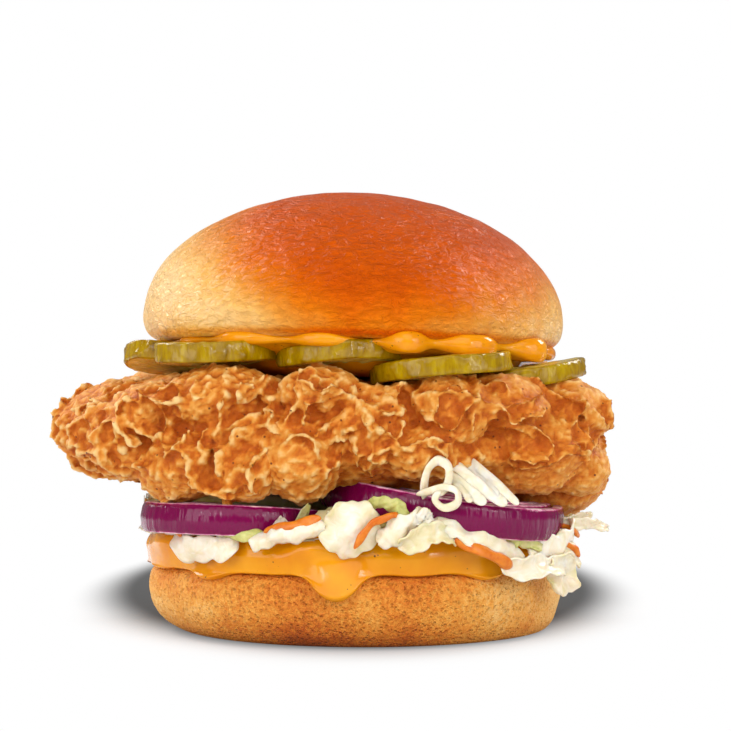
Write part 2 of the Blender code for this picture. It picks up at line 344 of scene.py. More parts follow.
def baked_dough():
    """The heel's unglazed crust: matt and golden, with a fine open grain of pores."""
    material, tree, shader, coords = moist("Baked dough crust", 0.62, 1.4, 0.06, 2)
    # The attribute holds the crust's own browning, with painted light at the sides and painted shade in the
    # middle and under the sauce.
    bake = add(tree, "Attribute", attribute_name="bake").outputs["Fac"]
    flecks = add(tree, "TexNoise", {"Vector": coords, "Scale": per_mm(1.1), "Detail": 3.0, "Roughness": 0.8})
    pores = add(tree, "TexVoronoi", {"Vector": coords, "Scale": per_mm(1.0), "Randomness": 1.0})
    pits = add(tree, "ValToRGB", {"Fac": pores.outputs["Distance"]}, stops=((0.05, 0.0), (0.42, 1.0)))
    baked = add(tree, "Math", {0: flecks.outputs["Fac"], 1: 0.8, 2: bake}, operation="MULTIPLY_ADD")
    pored = {0: pits.outputs["Color"], 1: -0.06, 2: baked.outputs[0]}
    open_grain = add(tree, "Math", pored, operation="MULTIPLY_ADD")
    browning = ((0.28, "#fac676"), (0.50, "#f2a946"), (0.70, "#e38826"), (0.90, "#cb6612"), (1.0, "#b25208"))
    crust = add(tree, "ValToRGB", {"Fac": open_grain.outputs[0]}, stops=browning)
    relief = {0: flecks.outputs["Fac"], 1: 1.5, 2: pits.outputs["Color"]}
    rough = add(tree, "Math", relief, operation="MULTIPLY_ADD")
    dress(tree, shader, crust.outputs["Color"], rough.outputs[0], 0.9, 0.8)
    return material


def cheddar_sauce():
    """Thick emulsified sauce: wet and glossy, amber in thin places, with ground spice in it."""
    material, tree, shader, coords = moist("Cheddar sauce", 0.12, 1.36, 0.1, 1.5)
    cloud = add(tree, "TexNoise", {"Vector": coords, "Scale": per_mm(8), "Detail": 3.0}).outputs["Fac"]
    amber = add(tree, "ValToRGB", {"Fac": cloud}, stops=((0.3, "#d98400"), (0.7, "#e79c0c"))).outputs["Color"]
    spice = add(tree, "TexVoronoi", {"Vector": coords, "Scale": per_mm(1.5), "Randomness": 1.0})
    sparse = add(tree, "TexNoise", {"Vector": coords, "Scale": per_mm(3), "Detail": 2.0})
    near = add(tree, "Math", {0: spice.outputs["Distance"], 1: sparse.outputs["Fac"]}, operation="ADD")
    speck = add(tree, "ValToRGB", {"Fac": near.outputs[0]}, stops=((0.47, 1.0), (0.53, 0.0))).outputs["Color"]
    colour = add(tree, "Mix", {0: speck, 6: amber, 7: linear("#6b4408")}, data_type="RGBA")
    dress(tree, shader, colour.outputs[2], cloud, 0.4, 0.8)
    return material


def fried_breading():
    """Deep-fried flour breading: dry and crunchy, golden on its edges as painted highlight and dark in its
    creases as painted shade.
    """
    material, tree, shader, coords = moist("Fried breading", 0.42, 1.36, 0.05, 1.5)
    crisp = add(tree, "Attribute", attribute_name="crisp").outputs["Fac"]
    mottling = {"Vector": coords, "Scale": per_mm(3.2), "Detail": 6.0, "Roughness": 0.68}
    patches = add(tree, "TexNoise", mottling).outputs["Fac"]
    # Painted light: the crust's own mottling, lighter where the skin stands proud and darker in its creases.
    tone = add(tree, "Math", {0: patches, 1: 0.6, 2: crisp}, operation="MULTIPLY_ADD").outputs[0]
    frying = ((0.12, "#862e00"), (0.28, "#c25c08"), (0.48, "#dd7f20"), (0.70, "#eca142"), (1.0, "#fbcf88"))
    crust = add(tree, "ValToRGB", {"Fac": tone}, stops=frying).outputs["Color"]
    pepper = add(tree, "TexVoronoi", {"Vector": coords, "Scale": per_mm(3.4), "Randomness": 1.0})
    speck = add(tree, "ValToRGB", {"Fac": pepper.outputs["Distance"]}, stops=((0.06, 1.0), (0.10, 0.0)))
    colour = add(tree, "Mix", {0: speck.outputs["Color"], 6: crust, 7: linear("#6e2c0a")}, data_type="RGBA")
    fine = add(tree, "TexNoise", {"Vector": coords, "Scale": per_mm(1.1), "Detail": 6.0, "Roughness": 0.7})
    dress(tree, shader, colour.outputs[2], fine.outputs["Fac"], 0.9, 1.0)
    return material


def onion_flesh():
    """Cut red onion: a tight glossy skin of deep magenta round pale, wet, faintly pink flesh."""
    material, tree, shader, coords = moist("Red onion", 0.14, 1.36, 0.08, 1.5)
    skin = add(tree, "Attribute", attribute_name="skin").outputs["Fac"]
    streaks = add(tree, "Mapping", {"Vector": coords, "Scale": (per_mm(2.6), per_mm(2.6), per_mm(22))})
    veins = add(tree, "TexNoise", {"Vector": streaks.outputs[0], "Scale": 1.0, "Detail": 3.0}).outputs["Fac"]
    depth = add(tree, "Math", {0: veins, 1: 0.9, 2: skin}, operation="MULTIPLY_ADD").outputs[0]
    blush = ((0.40, "#f0dce0"), (0.62, "#d88cb2"), (0.78, "#a82672"), (0.92, "#800046"), (1.0, "#700040"))
    colour = add(tree, "ValToRGB", {"Fac": depth}, stops=blush)
    dress(tree, shader, colour.outputs["Color"], veins, 0.9, 0.9)
    return material


def brined_gherkin():
    """Brined gherkin slice: olive warty rind, and translucent yellow-green flesh with seeds."""
    material, tree, shader, coords = moist("Brined gherkin", 0.12, 1.36, 0.08, 1.5)
    rind = add(tree, "Attribute", attribute_name="rind").outputs["Fac"]
    upright = add(tree, "Mapping", {"Vector": coords, "Scale": (per_mm(1.9), per_mm(1.9), per_mm(7))})
    warts = {"Vector": upright.outputs[0], "Scale": 1.0, "Detail": 3.0, "Roughness": 0.6}
    mottle = add(tree, "TexNoise", warts).outputs["Fac"]
    depth = add(tree, "Math", {0: mottle, 1: 0.5, 2: rind}, operation="MULTIPLY_ADD").outputs[0]
    olive = ((0.22, "#e2cf62"), (0.44, "#d2b820"), (0.62, "#b79a00"), (0.80, "#967400"), (1.0, "#604600"))
    colour = add(tree, "ValToRGB", {"Fac": depth}, stops=olive)
    dress(tree, shader, colour.outputs["Color"], mottle, 0.6, 0.6)
    return material


def cut_cabbage():
    """Dressed white cabbage: wet, waxy and soft-lit from within, cream with green towards the outer leaf."""
    coat = {"Coat_Weight": 0.2, "Coat_Roughness": 0.1}
    material, tree, shader, coords = moist("Dressed cabbage", 0.28, 1.4, 0.35, 2, **coat)
    green = add(tree, "Attribute", attribute_name="green").outputs["Fac"]
    veins = add(tree, "TexNoise", {"Vector": coords, "Scale": per_mm(3.0), "Detail": 5.0, "Distortion": 1.0})
    veins = veins.outputs["Fac"]
    depth = add(tree, "Math", {0: veins, 1: 0.6, 2: green}, operation="MULTIPLY_ADD").outputs[0]
    leaf = ((0.22, "#f2e7d6"), (0.38, "#e9dabb"), (0.56, "#dacd94"), (0.80, "#bebc6a"), (1.0, "#959b46"))
    colour = add(tree, "ValToRGB", {"Fac": depth}, stops=leaf)
    dress(tree, shader, colour.outputs["Color"], veins, 0.6, 0.7)
    return material


def cut_carrot():
    """Shredded carrot: moist and bright orange, with fine fibres."""
    material, tree, shader, coords = moist("Shredded carrot", 0.3, 1.4, 0.2, 1.5)
    fibres = add(tree, "TexNoise", {"Vector": coords, "Scale": per_mm(1.6), "Detail": 4.0}).outputs["Fac"]
    colour = add(tree, "ValToRGB", {"Fac": fibres}, stops=((0.3, "#cd6408"), (0.7, "#e08724")))
    dress(tree, shader, colour.outputs["Color"], fibres, 0.5, 0.3)
    return material


# ---- the bun ----

ROUND = 300
HEEL_ROUND = 380
CROWN_TILT = math.radians(1.5)
CROWN_WIDEST = 5.8
LIP_ROLL = 5.2
FOOT_SHIFT = 2.4


def turned(radii, heights, columns):
    """Rings round the Z axis, one for each pair of radius and height."""
    return polar(np.asarray(radii)[:, None], turns(columns)[None, :], np.asarray(heights)[:, None])


def make_crown():
    """The domed top of the bun, with a rolled lip, soft dents and a paler band low down that rises on the
    left and right as painted highlight.
    """
    low, high = span("crown")
    centre = (low + high) / 2
    radius = (high[0] - low[0]) / 2 - 0.3
    height = high[2] - low[2] - radius * math.sin(CROWN_TILT)
    lip = np.linspace(0, 1, 14)
    lip_radius = radius - LIP_ROLL * (1 - np.sin(lip * math.pi / 2) ** 0.9)
    lip_height = CROWN_WIDEST * (1 - np.cos(lip * math.pi / 2))
    rise = np.linspace(0, math.pi / 2, 130)[1:-1]
    dome_radius = radius * np.cos(rise) ** 0.97
    dome_height = CROWN_WIDEST + (height - CROWN_WIDEST) * np.sin(rise)
    under_radius = np.linspace(2, lip_radius[0], 16)[:-1]
    radii = np.concatenate([under_radius, lip_radius, dome_radius])
    rings = turned(radii, np.concatenate([0 * under_radius, lip_height, dome_height]), ROUND)
    outward = unit(rings - [0, 0, CROWN_WIDEST])
    dents = 0.35 * grain_noise(rings, 24, 3) + 0.24 * grain_noise(rings, 9, 4)
    dents += 0.12 * grain_noise(rings, 4, 5)
    rings = rings + outward * (dents * smooth_step(0, 4, rings[..., 2]))[..., None]
    points, faces = capped(rings)
    # The crust is browner the higher it is, above a pale rim of its own colour that rises on the left and the
    # right as painted highlight.
    share = (points[:, 2] - CROWN_WIDEST) / (height - CROWN_WIDEST)
    bearing = np.arctan2(points[:, 1], points[:, 0])
    left, right = np.clip(-np.cos(bearing), 0, 1), np.clip(np.cos(bearing), 0, 1)
    streaks = grain_noise(points * [1, 1, 0.35], 3.2, 7) * smooth_step(0.6, 0.1, share)
    pale_band = -0.30 + 1.1 * left**1.15 + 0.55 * right**1.4 + 0.07 * grain_noise(points, 20, 8)
    bake = smooth_step(-0.36, 0.56, share - pale_band + 0.06 * grain_noise(points, 12, 6) + 0.07 * streaks)
    near_lip = np.hypot(points[:, 0], points[:, 1]) > radius - 6
    lip_line = np.exp(-(((points[:, 2] - 1.1) / 0.8) ** 2)) * near_lip
    # The dark line at the foot of the lip is fainter on the left, under the painted highlight.
    bake = np.clip(0.02 + 0.86 * bake + 0.36 * lip_line * (1 - 0.6 * left), 0, 1)
    cos, sin = math.cos(CROWN_TILT), math.sin(CROWN_TILT)
    x, z = points[:, 0].copy(), points[:, 2].copy()
    points[:, 0], points[:, 2] = x * cos + z * sin, z * cos - x * sin
    points += [centre[0] - height * sin / 2, centre[1], low[2] + radius * sin]
    serve("crown_crust", (points, faces), glazed_brioche(), "baked_crown", "crown", bake=bake)


def heel_outline():
    """(radius, height) up the heel's side, from its foot to its cut face."""
    _, high = span("heel")
    radius, height = high[1] - 0.3, high[2]
    path = [(radius - 11, 0.0), (radius - 6.2, 0.6), (radius - 2.9, 3.4), (radius - 0.9, 7.4)]
    path += [(radius, 11.4), (radius - 0.3, 14.8), (radius - 1.7, 17.0), (radius - 4.2, height)]
    return eased(drawn_out(path, 9), 14)


def make_heel():
    """The flat lower half of the bun, matt and finely pitted."""
    outline = heel_outline()
    under = np.linspace(2, outline[0, 0], 12)[:-1]
    over = np.linspace(outline[-1, 0], 2, 12)[1:]
    radii = np.concatenate([under, outline[:, 0], over])
    heights = np.concatenate([0 * under, outline[:, 1], 0 * over + outline[-1, 1]])
    rings = turned(radii, heights, HEEL_ROUND)
    rings[..., 0] += FOOT_SHIFT * np.clip(1 - rings[..., 2] / 9, 0, 1) ** 2
    crumb = 0.5 * grain_noise(rings, 22, 11) + 0.2 * grain_noise(rings, 6, 12)
    crumb += 0.16 * grain_noise(rings, 2.2, 13)
    side = np.exp(-(((rings[..., 2] - 9) / 8) ** 2))
    points, faces = capped(rings + unit(rings * [1, 1, 0]) * (crumb * side)[..., None])
    z = points[:, 2]
    # Painted light: lighter on the left and right and darker in the middle, as the side lamps light it.
    left = smooth_step(0.25, 0.95, -points[:, 0] / 55)
    right = smooth_step(0.1, 0.8, points[:, 0] / 55)
    # Painted shade: darker patches along the top of the side, just under the sauce.
    upper_patches = smooth_step(12, 17, z) * np.clip(grain_noise(points, 14, 18), 0, 1)
    bake = 0.22 + 0.17 * smooth_step(8, 1, z) - 0.14 * left * smooth_step(14, 8, z) - 0.15 * right
    bake += 0.14 * (1 - left) * (1 - right) + 0.16 * upper_patches
    bake += 0.2 * grain_noise(points, 15, 14) + 0.12 * grain_noise(points, 5, 15)
    serve("heel_crust", (points, faces), baked_dough(), "baked_heel", "heel", bake=bake)


# ---- sauce ----

# Drips of the lower sauce: bearing from +X in degrees, half-width in degrees, reach down the heel.
DRIPS = (
    (-94.5, 6.8, 6.6),
    (-131, 6.0, 2.9),
    (-53.5, 6.5, 2.6),
    (-74, 6, 0.9),
    (-112, 5, 0.5),
    (-158, 9, 1.4),
    (-20, 10, 1.2),
    (12, 8, 1.8),
    (38, 7, 5.0),
    (61, 8, 1.6),
    (84, 7, 3.4),
    (122, 7, 5.8),
    (150, 9, 2.2),
    (178, 8, 1.6),
)
# Where it stands highest and laps over the slaw: bearing, half-width, and how much.
SAUCE_HEAPS = (
    (-152, 9, 1.0),
    (-127, 5, 0.9),
    (-100, 7, 1.0),
    (-60, 9, 0.7),
    (-5, 10, 0.8),
    (34, 12, 0.7),
    (75, 8, 1.0),
    (118, 12, 0.6),
    (165, 10, 0.8),
)
# Lobes of the upper sauce: bearing, half-width, and how far each stands out and hangs.
UPPER_LOBES = (
    (-122, 10, 3.0),
    (-99, 8, 3.0),
    (-76, 6, 4.2),
    (-57, 9.5, 4.0),
    (-33, 8, 4.6),
    (-146, 8, 1.2),
    (-8, 11, 2.4),
    (20, 12, 3.4),
    (50, 10, 4.0),
    (80, 11, 3.0),
    (112, 10, 4.2),
    (146, 11, 3.0),
    (176, 10, 2.6),
)


def bulges(bearing, table, sharpness=2.4):
    """Sum of smooth bulges round the Z axis, each a bearing and half-width in degrees with its size."""
    total = 0 * bearing
    for place, half_width, size in table:
        away = np.angle(np.exp(1j * (bearing - math.radians(place))))
        total = total + size * np.exp(-(np.abs(away / math.radians(half_width)) ** sharpness))
    return total


def level_ring(radius, bearing, height):
    return polar(radius + 0 * bearing, bearing, height + 0 * bearing)


def make_lower_sauce(sauce):
    """The pool of sauce on the heel: one fat rounded side whose hem hangs over the crust in drips."""
    outline = heel_outline()[::-1]
    steps = np.concatenate([[0], np.cumsum(np.hypot(*np.diff(outline, axis=0).T))])
    bearing = turns(540)
    drips, heaps = bulges(bearing, DRIPS), bulges(bearing, SAUCE_HEAPS)
    uneven = grain_noise(polar(54, bearing, 0.0), 11, 21)
    reach = 1.5 + drips + 0.5 * uneven
    top = span("lower_sauce")[1][2]
    edge = outline[0, 0]
    swell = 0.7 * uneven + 0.5 * grain_noise(polar(54, bearing, 40.0), 6, 22)
    swell += 1.1 * heaps
    ridge = top + 3.4 + 1.6 * heaps + 0.9 * grain_noise(polar(54, bearing, 80.0), 9, 23)
    profile = [(edge - 34, top), (edge - 20, top), (edge - 5, ridge - 0.4), (edge + 1.0, ridge)]
    profile += [(edge + 3.2, ridge - 1.0), (edge + 4.4 + swell, ridge - 3.0)]
    profile += [(edge + 4.8 + swell, ridge - 5.0), (edge + 4.6 + 0.5 * swell, top - 2.0)]
    path = [level_ring(radius, bearing, height) for radius, height in profile]

    def on_crust(down):
        return np.interp(down, steps, outline[:, 0]), np.interp(down, steps, outline[:, 1])

    bead = 0.16 * drips
    for share, thick in ((0.5, 3.6), (0.7, 3.2), (0.84, 2.7 + bead), (0.94, 2.0 + bead), (1.0, 0.9)):
        radius, height = on_crust(share * reach)
        lean = np.clip(share * reach / 5, 0.88, 1)
        path.append(polar(radius + thick * lean, bearing, height + thick * (1 - lean)))
    radius, height = on_crust(0.97 * reach)
    path.append(polar(radius - 0.3, bearing, height))
    path = np.array(path)
    fine = np.linspace(0, len(path) - 1, 62)
    low = np.minimum(fine.astype(int), len(path) - 2)
    share = (fine - low)[:, None, None]
    rings = eased(path[low] * (1 - share) + path[low + 1] * share, 5)
    ripples = 0.22 * grain_noise(rings, 5, 24) + 0.3 * grain_noise(rings, 10, 25)
    rings = rings + unit(rings * [1, 1, 0]) * ripples[..., None]
    closing = [level_ring(share * edge, bearing, outline[0, 1] - 0.4) for share in (0.95, 0.5)]
    body = capped(np.concatenate([rings, closing])[::-1])
    serve("lower_sauce_pool", body, sauce, "cheddar_sauce", "lower_sauce")


def make_upper_sauce(sauce):
    """Sauce pressed out under the crown in fat lobes over and between the gherkin slices."""
    top = span("upper_sauce")[1][2]
    bearing = turns(480)
    lobes = bulges(bearing, UPPER_LOBES, 2.6)
    edge = 46.6 + 1.45 * lobes + 0.4 * np.sin(5 * bearing)
    ceiling = top - 0.7 + 0.42 * lobes
    sag = 1.4 + 1.0 * lobes * np.clip(0.8 + 0.4 * np.cos(bearing), 0.7, 1.0)
    under = ((14, 64.4), (30, 64.4), (36, 65.0), (40, 66.4), (43.5, 69.8))
    rings = [level_ring(radius, bearing, height) for radius, height in under]
    for turn in np.linspace(-math.pi / 2, math.pi / 2, 18):
        height = ceiling - sag / 2 + sag / 2 * np.sin(turn)
        rings.append(polar(edge + 2.1 * np.cos(turn) ** 0.8, bearing, height))
    rings += [level_ring(share * edge, bearing, top - 1.0) for share in (0.9, 0.5)]
    rings = np.array(rings)
    rings[..., 2] -= math.tan(CROWN_TILT) * rings[..., 0]
    serve("upper_sauce_lobes", capped(rings), sauce, "cheddar_sauce", "upper_sauce")


# ---- slices ----

# Each slice is radius, thickness, rise towards +X and rise towards +Y.
ONIONS = {"onion_left": (22.2, 7.3, -0.055, -0.04), "onion_right": (30.5, 7.8, -0.1407, 0.04)}
PICKLES = {
    "pickle_far_left": (13.6, 4.0, -0.06, -0.12),
    "pickle_left": (14.8, 4.1, 0.02, -0.02),
    "pickle_middle": (15.0, 3.8, 0.035, -0.03),
    "pickle_front_right": (17.0, 3.8, 0.1176, 0.03),
    "pickle_right": (17.6, 3.8, 0.13, 0.03),
    "pickle_back_left": (15.6, 4.0, 0.01, 0.02),
    "pickle_back_right": (16.2, 4.0, -0.03, 0.0),
}
RIND_SWELL = 0.7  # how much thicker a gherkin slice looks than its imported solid
ONION_SEEDS = {"onion_left": 3, "onion_right": 5}


def lay_slice(points, node, rise_x, rise_y):
    """Points of a slice made round the origin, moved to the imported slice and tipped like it."""
    normal = Vector((-rise_x, -rise_y, 1)).normalized()
    side = Vector((1, 0, rise_x)).normalized()
    turn = np.array(Matrix((side, normal.cross(side), normal)).transposed())
    return points @ turn.T + middle(node)


def onion_ring(outer, inner, thickness, seed, bow):
    """One ring of an onion slice: skin on its bowed outer side, flesh on the cut faces."""
    bearing = turns(150)
    section = [np.array([part(turn) for turn in turns(24)]) for part in (np.cos, np.sin)]
    across, along = (np.sign(part) * np.abs(part) ** 0.35 for part in section)
    wobble = 0.018 * np.sin(2 * bearing + seed) + 0.01 * np.sin(3 * bearing + 2 * seed)
    wobble += 0.004 * np.sin(9 * bearing)
    height = along * thickness / 2
    radius = (outer + inner) / 2 + across * ((outer - inner) / 2) + bow * (1 - along**2)
    rings = polar(radius[:, None] * (1 + wobble), bearing[None, :], height[:, None] + 0 * bearing)
    rings[..., 2] += 0.25 * np.sin(2 * bearing + 1.3 * seed)
    rows, columns, _ = rings.shape
    faces = ring_faces(rows, columns, closed_rows=True)[:, ::-1]
    outside = smooth_step(0.72, 0.98, across) * smooth_step(1.0, 0.86, np.abs(along))
    points = rings.reshape(-1, 3)
    depth = 0.06 + 0.72 * np.repeat(outside, columns) + 0.1 * grain_noise(points, 8, seed)
    return points, faces.tolist(), depth


def make_onion(node, material):
    """A thick slice of red onion: nested rings, each standing a little apart."""
    outer, thickness, rise_x, rise_y = ONIONS[node]
    bodies, skins = [], []
    seed = ONION_SEEDS[node]
    while outer > 5:
        width = 3.4 + 0.5 * math.sin(seed)
        points, faces, skin = onion_ring(outer, max(outer - width, 0.8), thickness, seed, 0.7)
        bodies.append((points, faces))
        skins.append(skin)
        outer -= width + 0.25
        seed += 1
    points, faces = joined(bodies)
    body = lay_slice(points, node, rise_x, rise_y), faces
    serve(f"{node}_rings", body, material, "red_onion", node, skin=np.concatenate(skins))


def make_pickle(node, seed, material):
    """A gherkin slice: a warty rind round a soft face with a ring of seeds."""
    radius, thickness, rise_x, rise_y = PICKLES[node]
    thickness += RIND_SWELL
    bearing = turns(150)
    face_shares = np.array([0.06, 0.16, 0.26, 0.36, 0.46, 0.56, 0.66, 0.76, 0.85, 0.92])
    rim = np.linspace(-math.pi / 2, math.pi / 2, 15)
    shares = np.concatenate([face_shares, 0.955 + 0.045 * np.cos(rim) ** 0.7, face_shares[::-1]])
    lifts = np.concatenate([-np.ones(10), np.sign(np.sin(rim)) * np.abs(np.sin(rim)) ** 0.7, np.ones(10)])
    outline = radius * (1 + 0.022 * np.sin(2 * bearing + seed) + 0.012 * np.sin(5 * bearing + seed * 2))
    rings = polar(shares[:, None] * outline, bearing[None, :], lifts[:, None] * thickness / 2 + 0 * bearing)
    seeds = np.clip(np.sin(9 * bearing + seed), 0, 1) * np.exp(-(((shares[:, None] - 0.45) / 0.13) ** 2))
    droop = 0.5 * np.sin(2 * bearing + seed * 1.9) * shares[:, None] ** 2
    soft = 0.35 * grain_noise(rings, 5, seed) * (shares[:, None] < 0.94)
    rings[..., 2] += droop + 0.35 * seeds * lifts[:, None] + soft
    warts = np.clip(grain_noise(rings, 3.0, seed + 40), 0, 1) * 1.1
    warts += 0.25 * grain_noise(rings, 1.5, seed + 60)
    rings += unit(rings * [1, 1, 0]) * (warts * smooth_step(0.93, 0.98, shares)[:, None])[..., None]
    points, faces = capped(rings)
    share = np.append(np.repeat(shares, len(bearing)), [0, 0])
    rind = 0.02 + 0.5 * smooth_step(0.91, 0.97, share) - 0.12 * np.append(seeds.ravel(), [0, 0])
    rind += 0.1 * np.append(warts.ravel(), [0, 0]) * (share > 0.93)
    body = lay_slice(points, node, rise_x, rise_y), faces
    serve(f"{node}_slice", body, material, "pickle", node, rind=rind)


# ---- slaw ----

CORE_RADIUS = 48.0
LOOSE_SHREDS = 360
CARROT_SHARE = 0.14
# Ranges of length, width and thickness.
CARROT_CUT = ((8, 20), (1.8, 2.8), (1.4, 2.0))
CABBAGE_CUT = ((10, 26), (2.2, 6.5), (0.5, 0.9))


def leaf_strip(rng, path, width, thickness, up, across=7):
    """A thin strip of leaf along a path: cupped, ruffled along both edges and torn at its ends."""
    along = unit(np.gradient(path, axis=0))
    side = unit(np.cross(along, up))
    out = np.cross(side, along)
    v = np.linspace(0, 1, len(path))[:, None]
    u = np.linspace(-1, 1, across)[None, :]
    phase = rng.uniform(0, 6, 4)
    torn = 1 + 0.16 * np.sin(v * rng.uniform(7, 15) + phase[0] + u) + 0.10 * np.sin(v * 31 + phase[1] - 2 * u)
    cup = rng.uniform(-0.28, 0.28)
    frill = 0.10 * u * np.sin(v * rng.uniform(8, 18) + phase[2])
    lift = width * (cup * u * u + frill + 0.05 * np.sin(9 * v + phase[3]))
    flat = (width / 2 * taper(v, 8, 0.06) * torn * u)[..., None] * side[:, None]
    grid = path[:, None] + flat + lift[..., None] * out[:, None]
    crease = 1 - np.abs(np.sin(v * rng.uniform(5, 11) + 1.2 * u + phase[2]))
    grid += (0.45 * crease**3)[..., None] * out[:, None]
    grid += 0.25 * drift(grid, 2.2, 94)
    rib = 1 + 0.5 * np.exp(-((u / 0.25) ** 2)) * (v > 0)
    return plate(grid, thickness * rib * (1 - 0.35 * u * u))


def ribbon(rng, start, heading, length, width, thickness, leafy):
    """A shred of cabbage or carrot that wanders, twists and sags."""
    count = max(10, int(length / 1.2))
    angle, path = heading, [np.array(start, float)]
    bend = 0.13 * rng.uniform(-1, 1)
    pitch = rng.uniform(-0.25, 0.25)
    for i in range(count):
        angle += bend + 0.12 * rng.uniform(-1, 1)
        pitch += 0.10 * rng.uniform(-1, 1) - 0.06 * i / count
        level = math.cos(pitch)
        move = np.array([math.cos(angle) * level, math.sin(angle) * level, math.sin(pitch)])
        path.append(path[-1] + length / count * move)
    path = np.array(path)
    share = np.linspace(0, 1, len(path))
    up = np.tile(unit(np.array([rng.uniform(-0.7, 0.7), rng.uniform(-0.7, 0.7), 1.0])), (len(path), 1))
    twist = rng.uniform(-1.5, 1.5) * share
    up = unit(up + np.stack([np.sin(twist), 0 * twist, np.cos(twist) - 1], -1))
    if leafy:
        return leaf_strip(rng, path, width, thickness, up, 5)
    ends = taper(share, 6, 0.05)
    return strand(path, width * ends, thickness * ends, up)


def slaw_lid(points):
    """Height that the heap reaches: the fillet's underside, or an onion's where one lies on it."""
    bottom, top = span("slaw")[0][2], span("slaw")[1][2]
    lid = np.full(len(points), top + 0.6)
    for node, (radius, thickness, rise_x, rise_y) in ONIONS.items():
        centre = middle(node)
        away = points[:, :2] - centre[:2]
        under = centre[2] + rise_x * away[:, 0] + rise_y * away[:, 1] - thickness / 2
        share = np.clip((np.hypot(away[:, 0], away[:, 1]) - radius - 1) / 4, 0, 1)
        lid = np.minimum(lid, np.maximum(under, bottom + 2.6) * (1 - share) + lid * share)
    return lid


# Shreds laid along the front: kind, width, thickness, greenness, and a line of points, each a bearing, a
# height and a radius.
FRONT_SHREDS = (
    ("cabbage", 5.6, 1.6, 0.02,
        ((-144, 27.4, 54), (-137, 24.6, 57.6), (-130, 22.8, 58.4), (-124, 23.8, 58), (-121, 26, 55))),
    ("cabbage", 3.0, 1.2, 0.50,
        ((-137, 28.0, 55), (-128, 28.4, 57.8), (-119, 27.6, 57.8), (-112, 26.8, 56))),
    ("carrot", 2.0, 1.6, 0, ((-141, 28.6, 55), (-138.5, 27.8, 57.4), (-136, 26.2, 58))),
    ("cabbage", 3.6, 1.3, 0.02,
        ((-115, 25.6, 57.4), (-110, 26.4, 58.8), (-104, 27.6, 59), (-97, 29.2, 58))),
    ("carrot", 3.0, 1.7, 0, ((-112, 27.4, 56.6), (-107, 28.9, 58.4), (-102, 30.2, 58.6), (-98, 30.9, 57))),
    ("carrot", 2.1, 1.6, 0,
        ((-90, 24.2, 58.8), (-88.4, 27.4, 60), (-86, 30.4, 60.2), (-82.6, 31.9, 59.6), (-79, 31.6, 57.6))),
    ("cabbage", 2.6, 1.2, 0.50,
        ((-87, 34.2, 56.6), (-83, 34.9, 57.8), (-80, 33.9, 58.4), (-77.6, 31.0, 58))),
    ("cabbage", 4.6, 1.3, 0.04,
        ((-84.6, 25.8, 58.4), (-81, 28.4, 59.2), (-77, 30.6, 59.2), (-72, 31.4, 57.6))),
    ("cabbage", 4.4, 1.2, 0.16,
        ((-80, 25.6, 58.2), (-75, 26.6, 59.4), (-70.5, 27.8, 59.2), (-66, 26.6, 57.6))),
    ("cabbage", 3.0, 2.2, 0.02, ((-77, 30.6, 58), (-74.5, 31.8, 59.2), (-72.4, 31.4, 58.6))),
    ("cabbage", 4.0, 1.3, 0.04,
        ((-71.4, 30.4, 57.6), (-67, 28.2, 59.4), (-61, 26.2, 60), (-54, 23.6, 60), (-47, 20.8, 59))),
    ("carrot", 3.4, 1.7, 0, ((-67, 26.2, 59.4), (-62.4, 24.4, 60.6), (-57, 22.0, 60.8), (-51.6, 19.2, 60))),
    ("cabbage", 3.8, 1.2, 0.42, ((-54, 27.4, 57.4), (-49, 26.6, 59), (-43, 24.6, 59.6), (-39, 23.4, 58.6))),
    ("cabbage", 6.4, 1.4, 0.00, ((-45, 22.4, 59), (-38, 22.6, 60.6), (-30, 24.4, 60.8), (-22, 27.4, 59.6))),
    ("cabbage", 4.6, 1.3, 0.03, ((-54, 19.8, 59), (-46, 18.6, 60.6), (-38, 18.8, 61), (-31, 20.2, 60.4))),
    ("cabbage", 4.2, 1.3, 0.06, ((-40, 27.6, 57), (-34, 25.4, 60), (-28, 21.6, 61), (-25, 18.8, 61))),
    ("cabbage", 2.4, 1.2, 0.04, ((-34, 28.2, 55.6), (-26, 28.6, 59.6), (-19.6, 28.0, 63), (-16, 26.6, 66))),
    ("cabbage", 2.2, 1.1, 0.08, ((-33, 27.2, 56.6), (-25, 29.6, 59.4), (-18, 30.6, 62.4))),
    ("carrot", 1.9, 1.5, 0, ((-31, 28.4, 58), (-26.6, 27.0, 60.6), (-23.4, 25.0, 61))),
    ("carrot", 1.9, 1.5, 0, ((-32, 24.0, 60.4), (-28.6, 22.4, 61.8), (-26.6, 20.4, 61.8))),
)


def laid_shred(rng, kind, width, thickness, line):
    """A shred through the points of a given line, ruffled along its edges."""
    bearing, height, radius = drawn_out(line, 14).T
    path = eased(polar(radius - 0.4, np.radians(bearing), height), 16)
    path += 0.5 * drift(path, 4, 91)
    share = np.linspace(0, 1, len(path))
    ruffle = 1 + 0.16 * np.sin(share * rng.uniform(8, 20) + rng.uniform(0, 6))
    sway = 0.45 * np.sin(share * rng.uniform(3, 7) + rng.uniform(0, 6))[:, None]
    up = unit(unit(path * [1, 1, 0]) + sway * [0, 0, 1])
    if kind == "carrot":
        ends = taper(share, 6, 0.04)
        return strand(path, 0.85 * width * ends * ruffle, 0.8 * thickness * ends, up, 12)
    return leaf_strip(rng, path, 1.15 * width, 0.5 * thickness, up, 11)


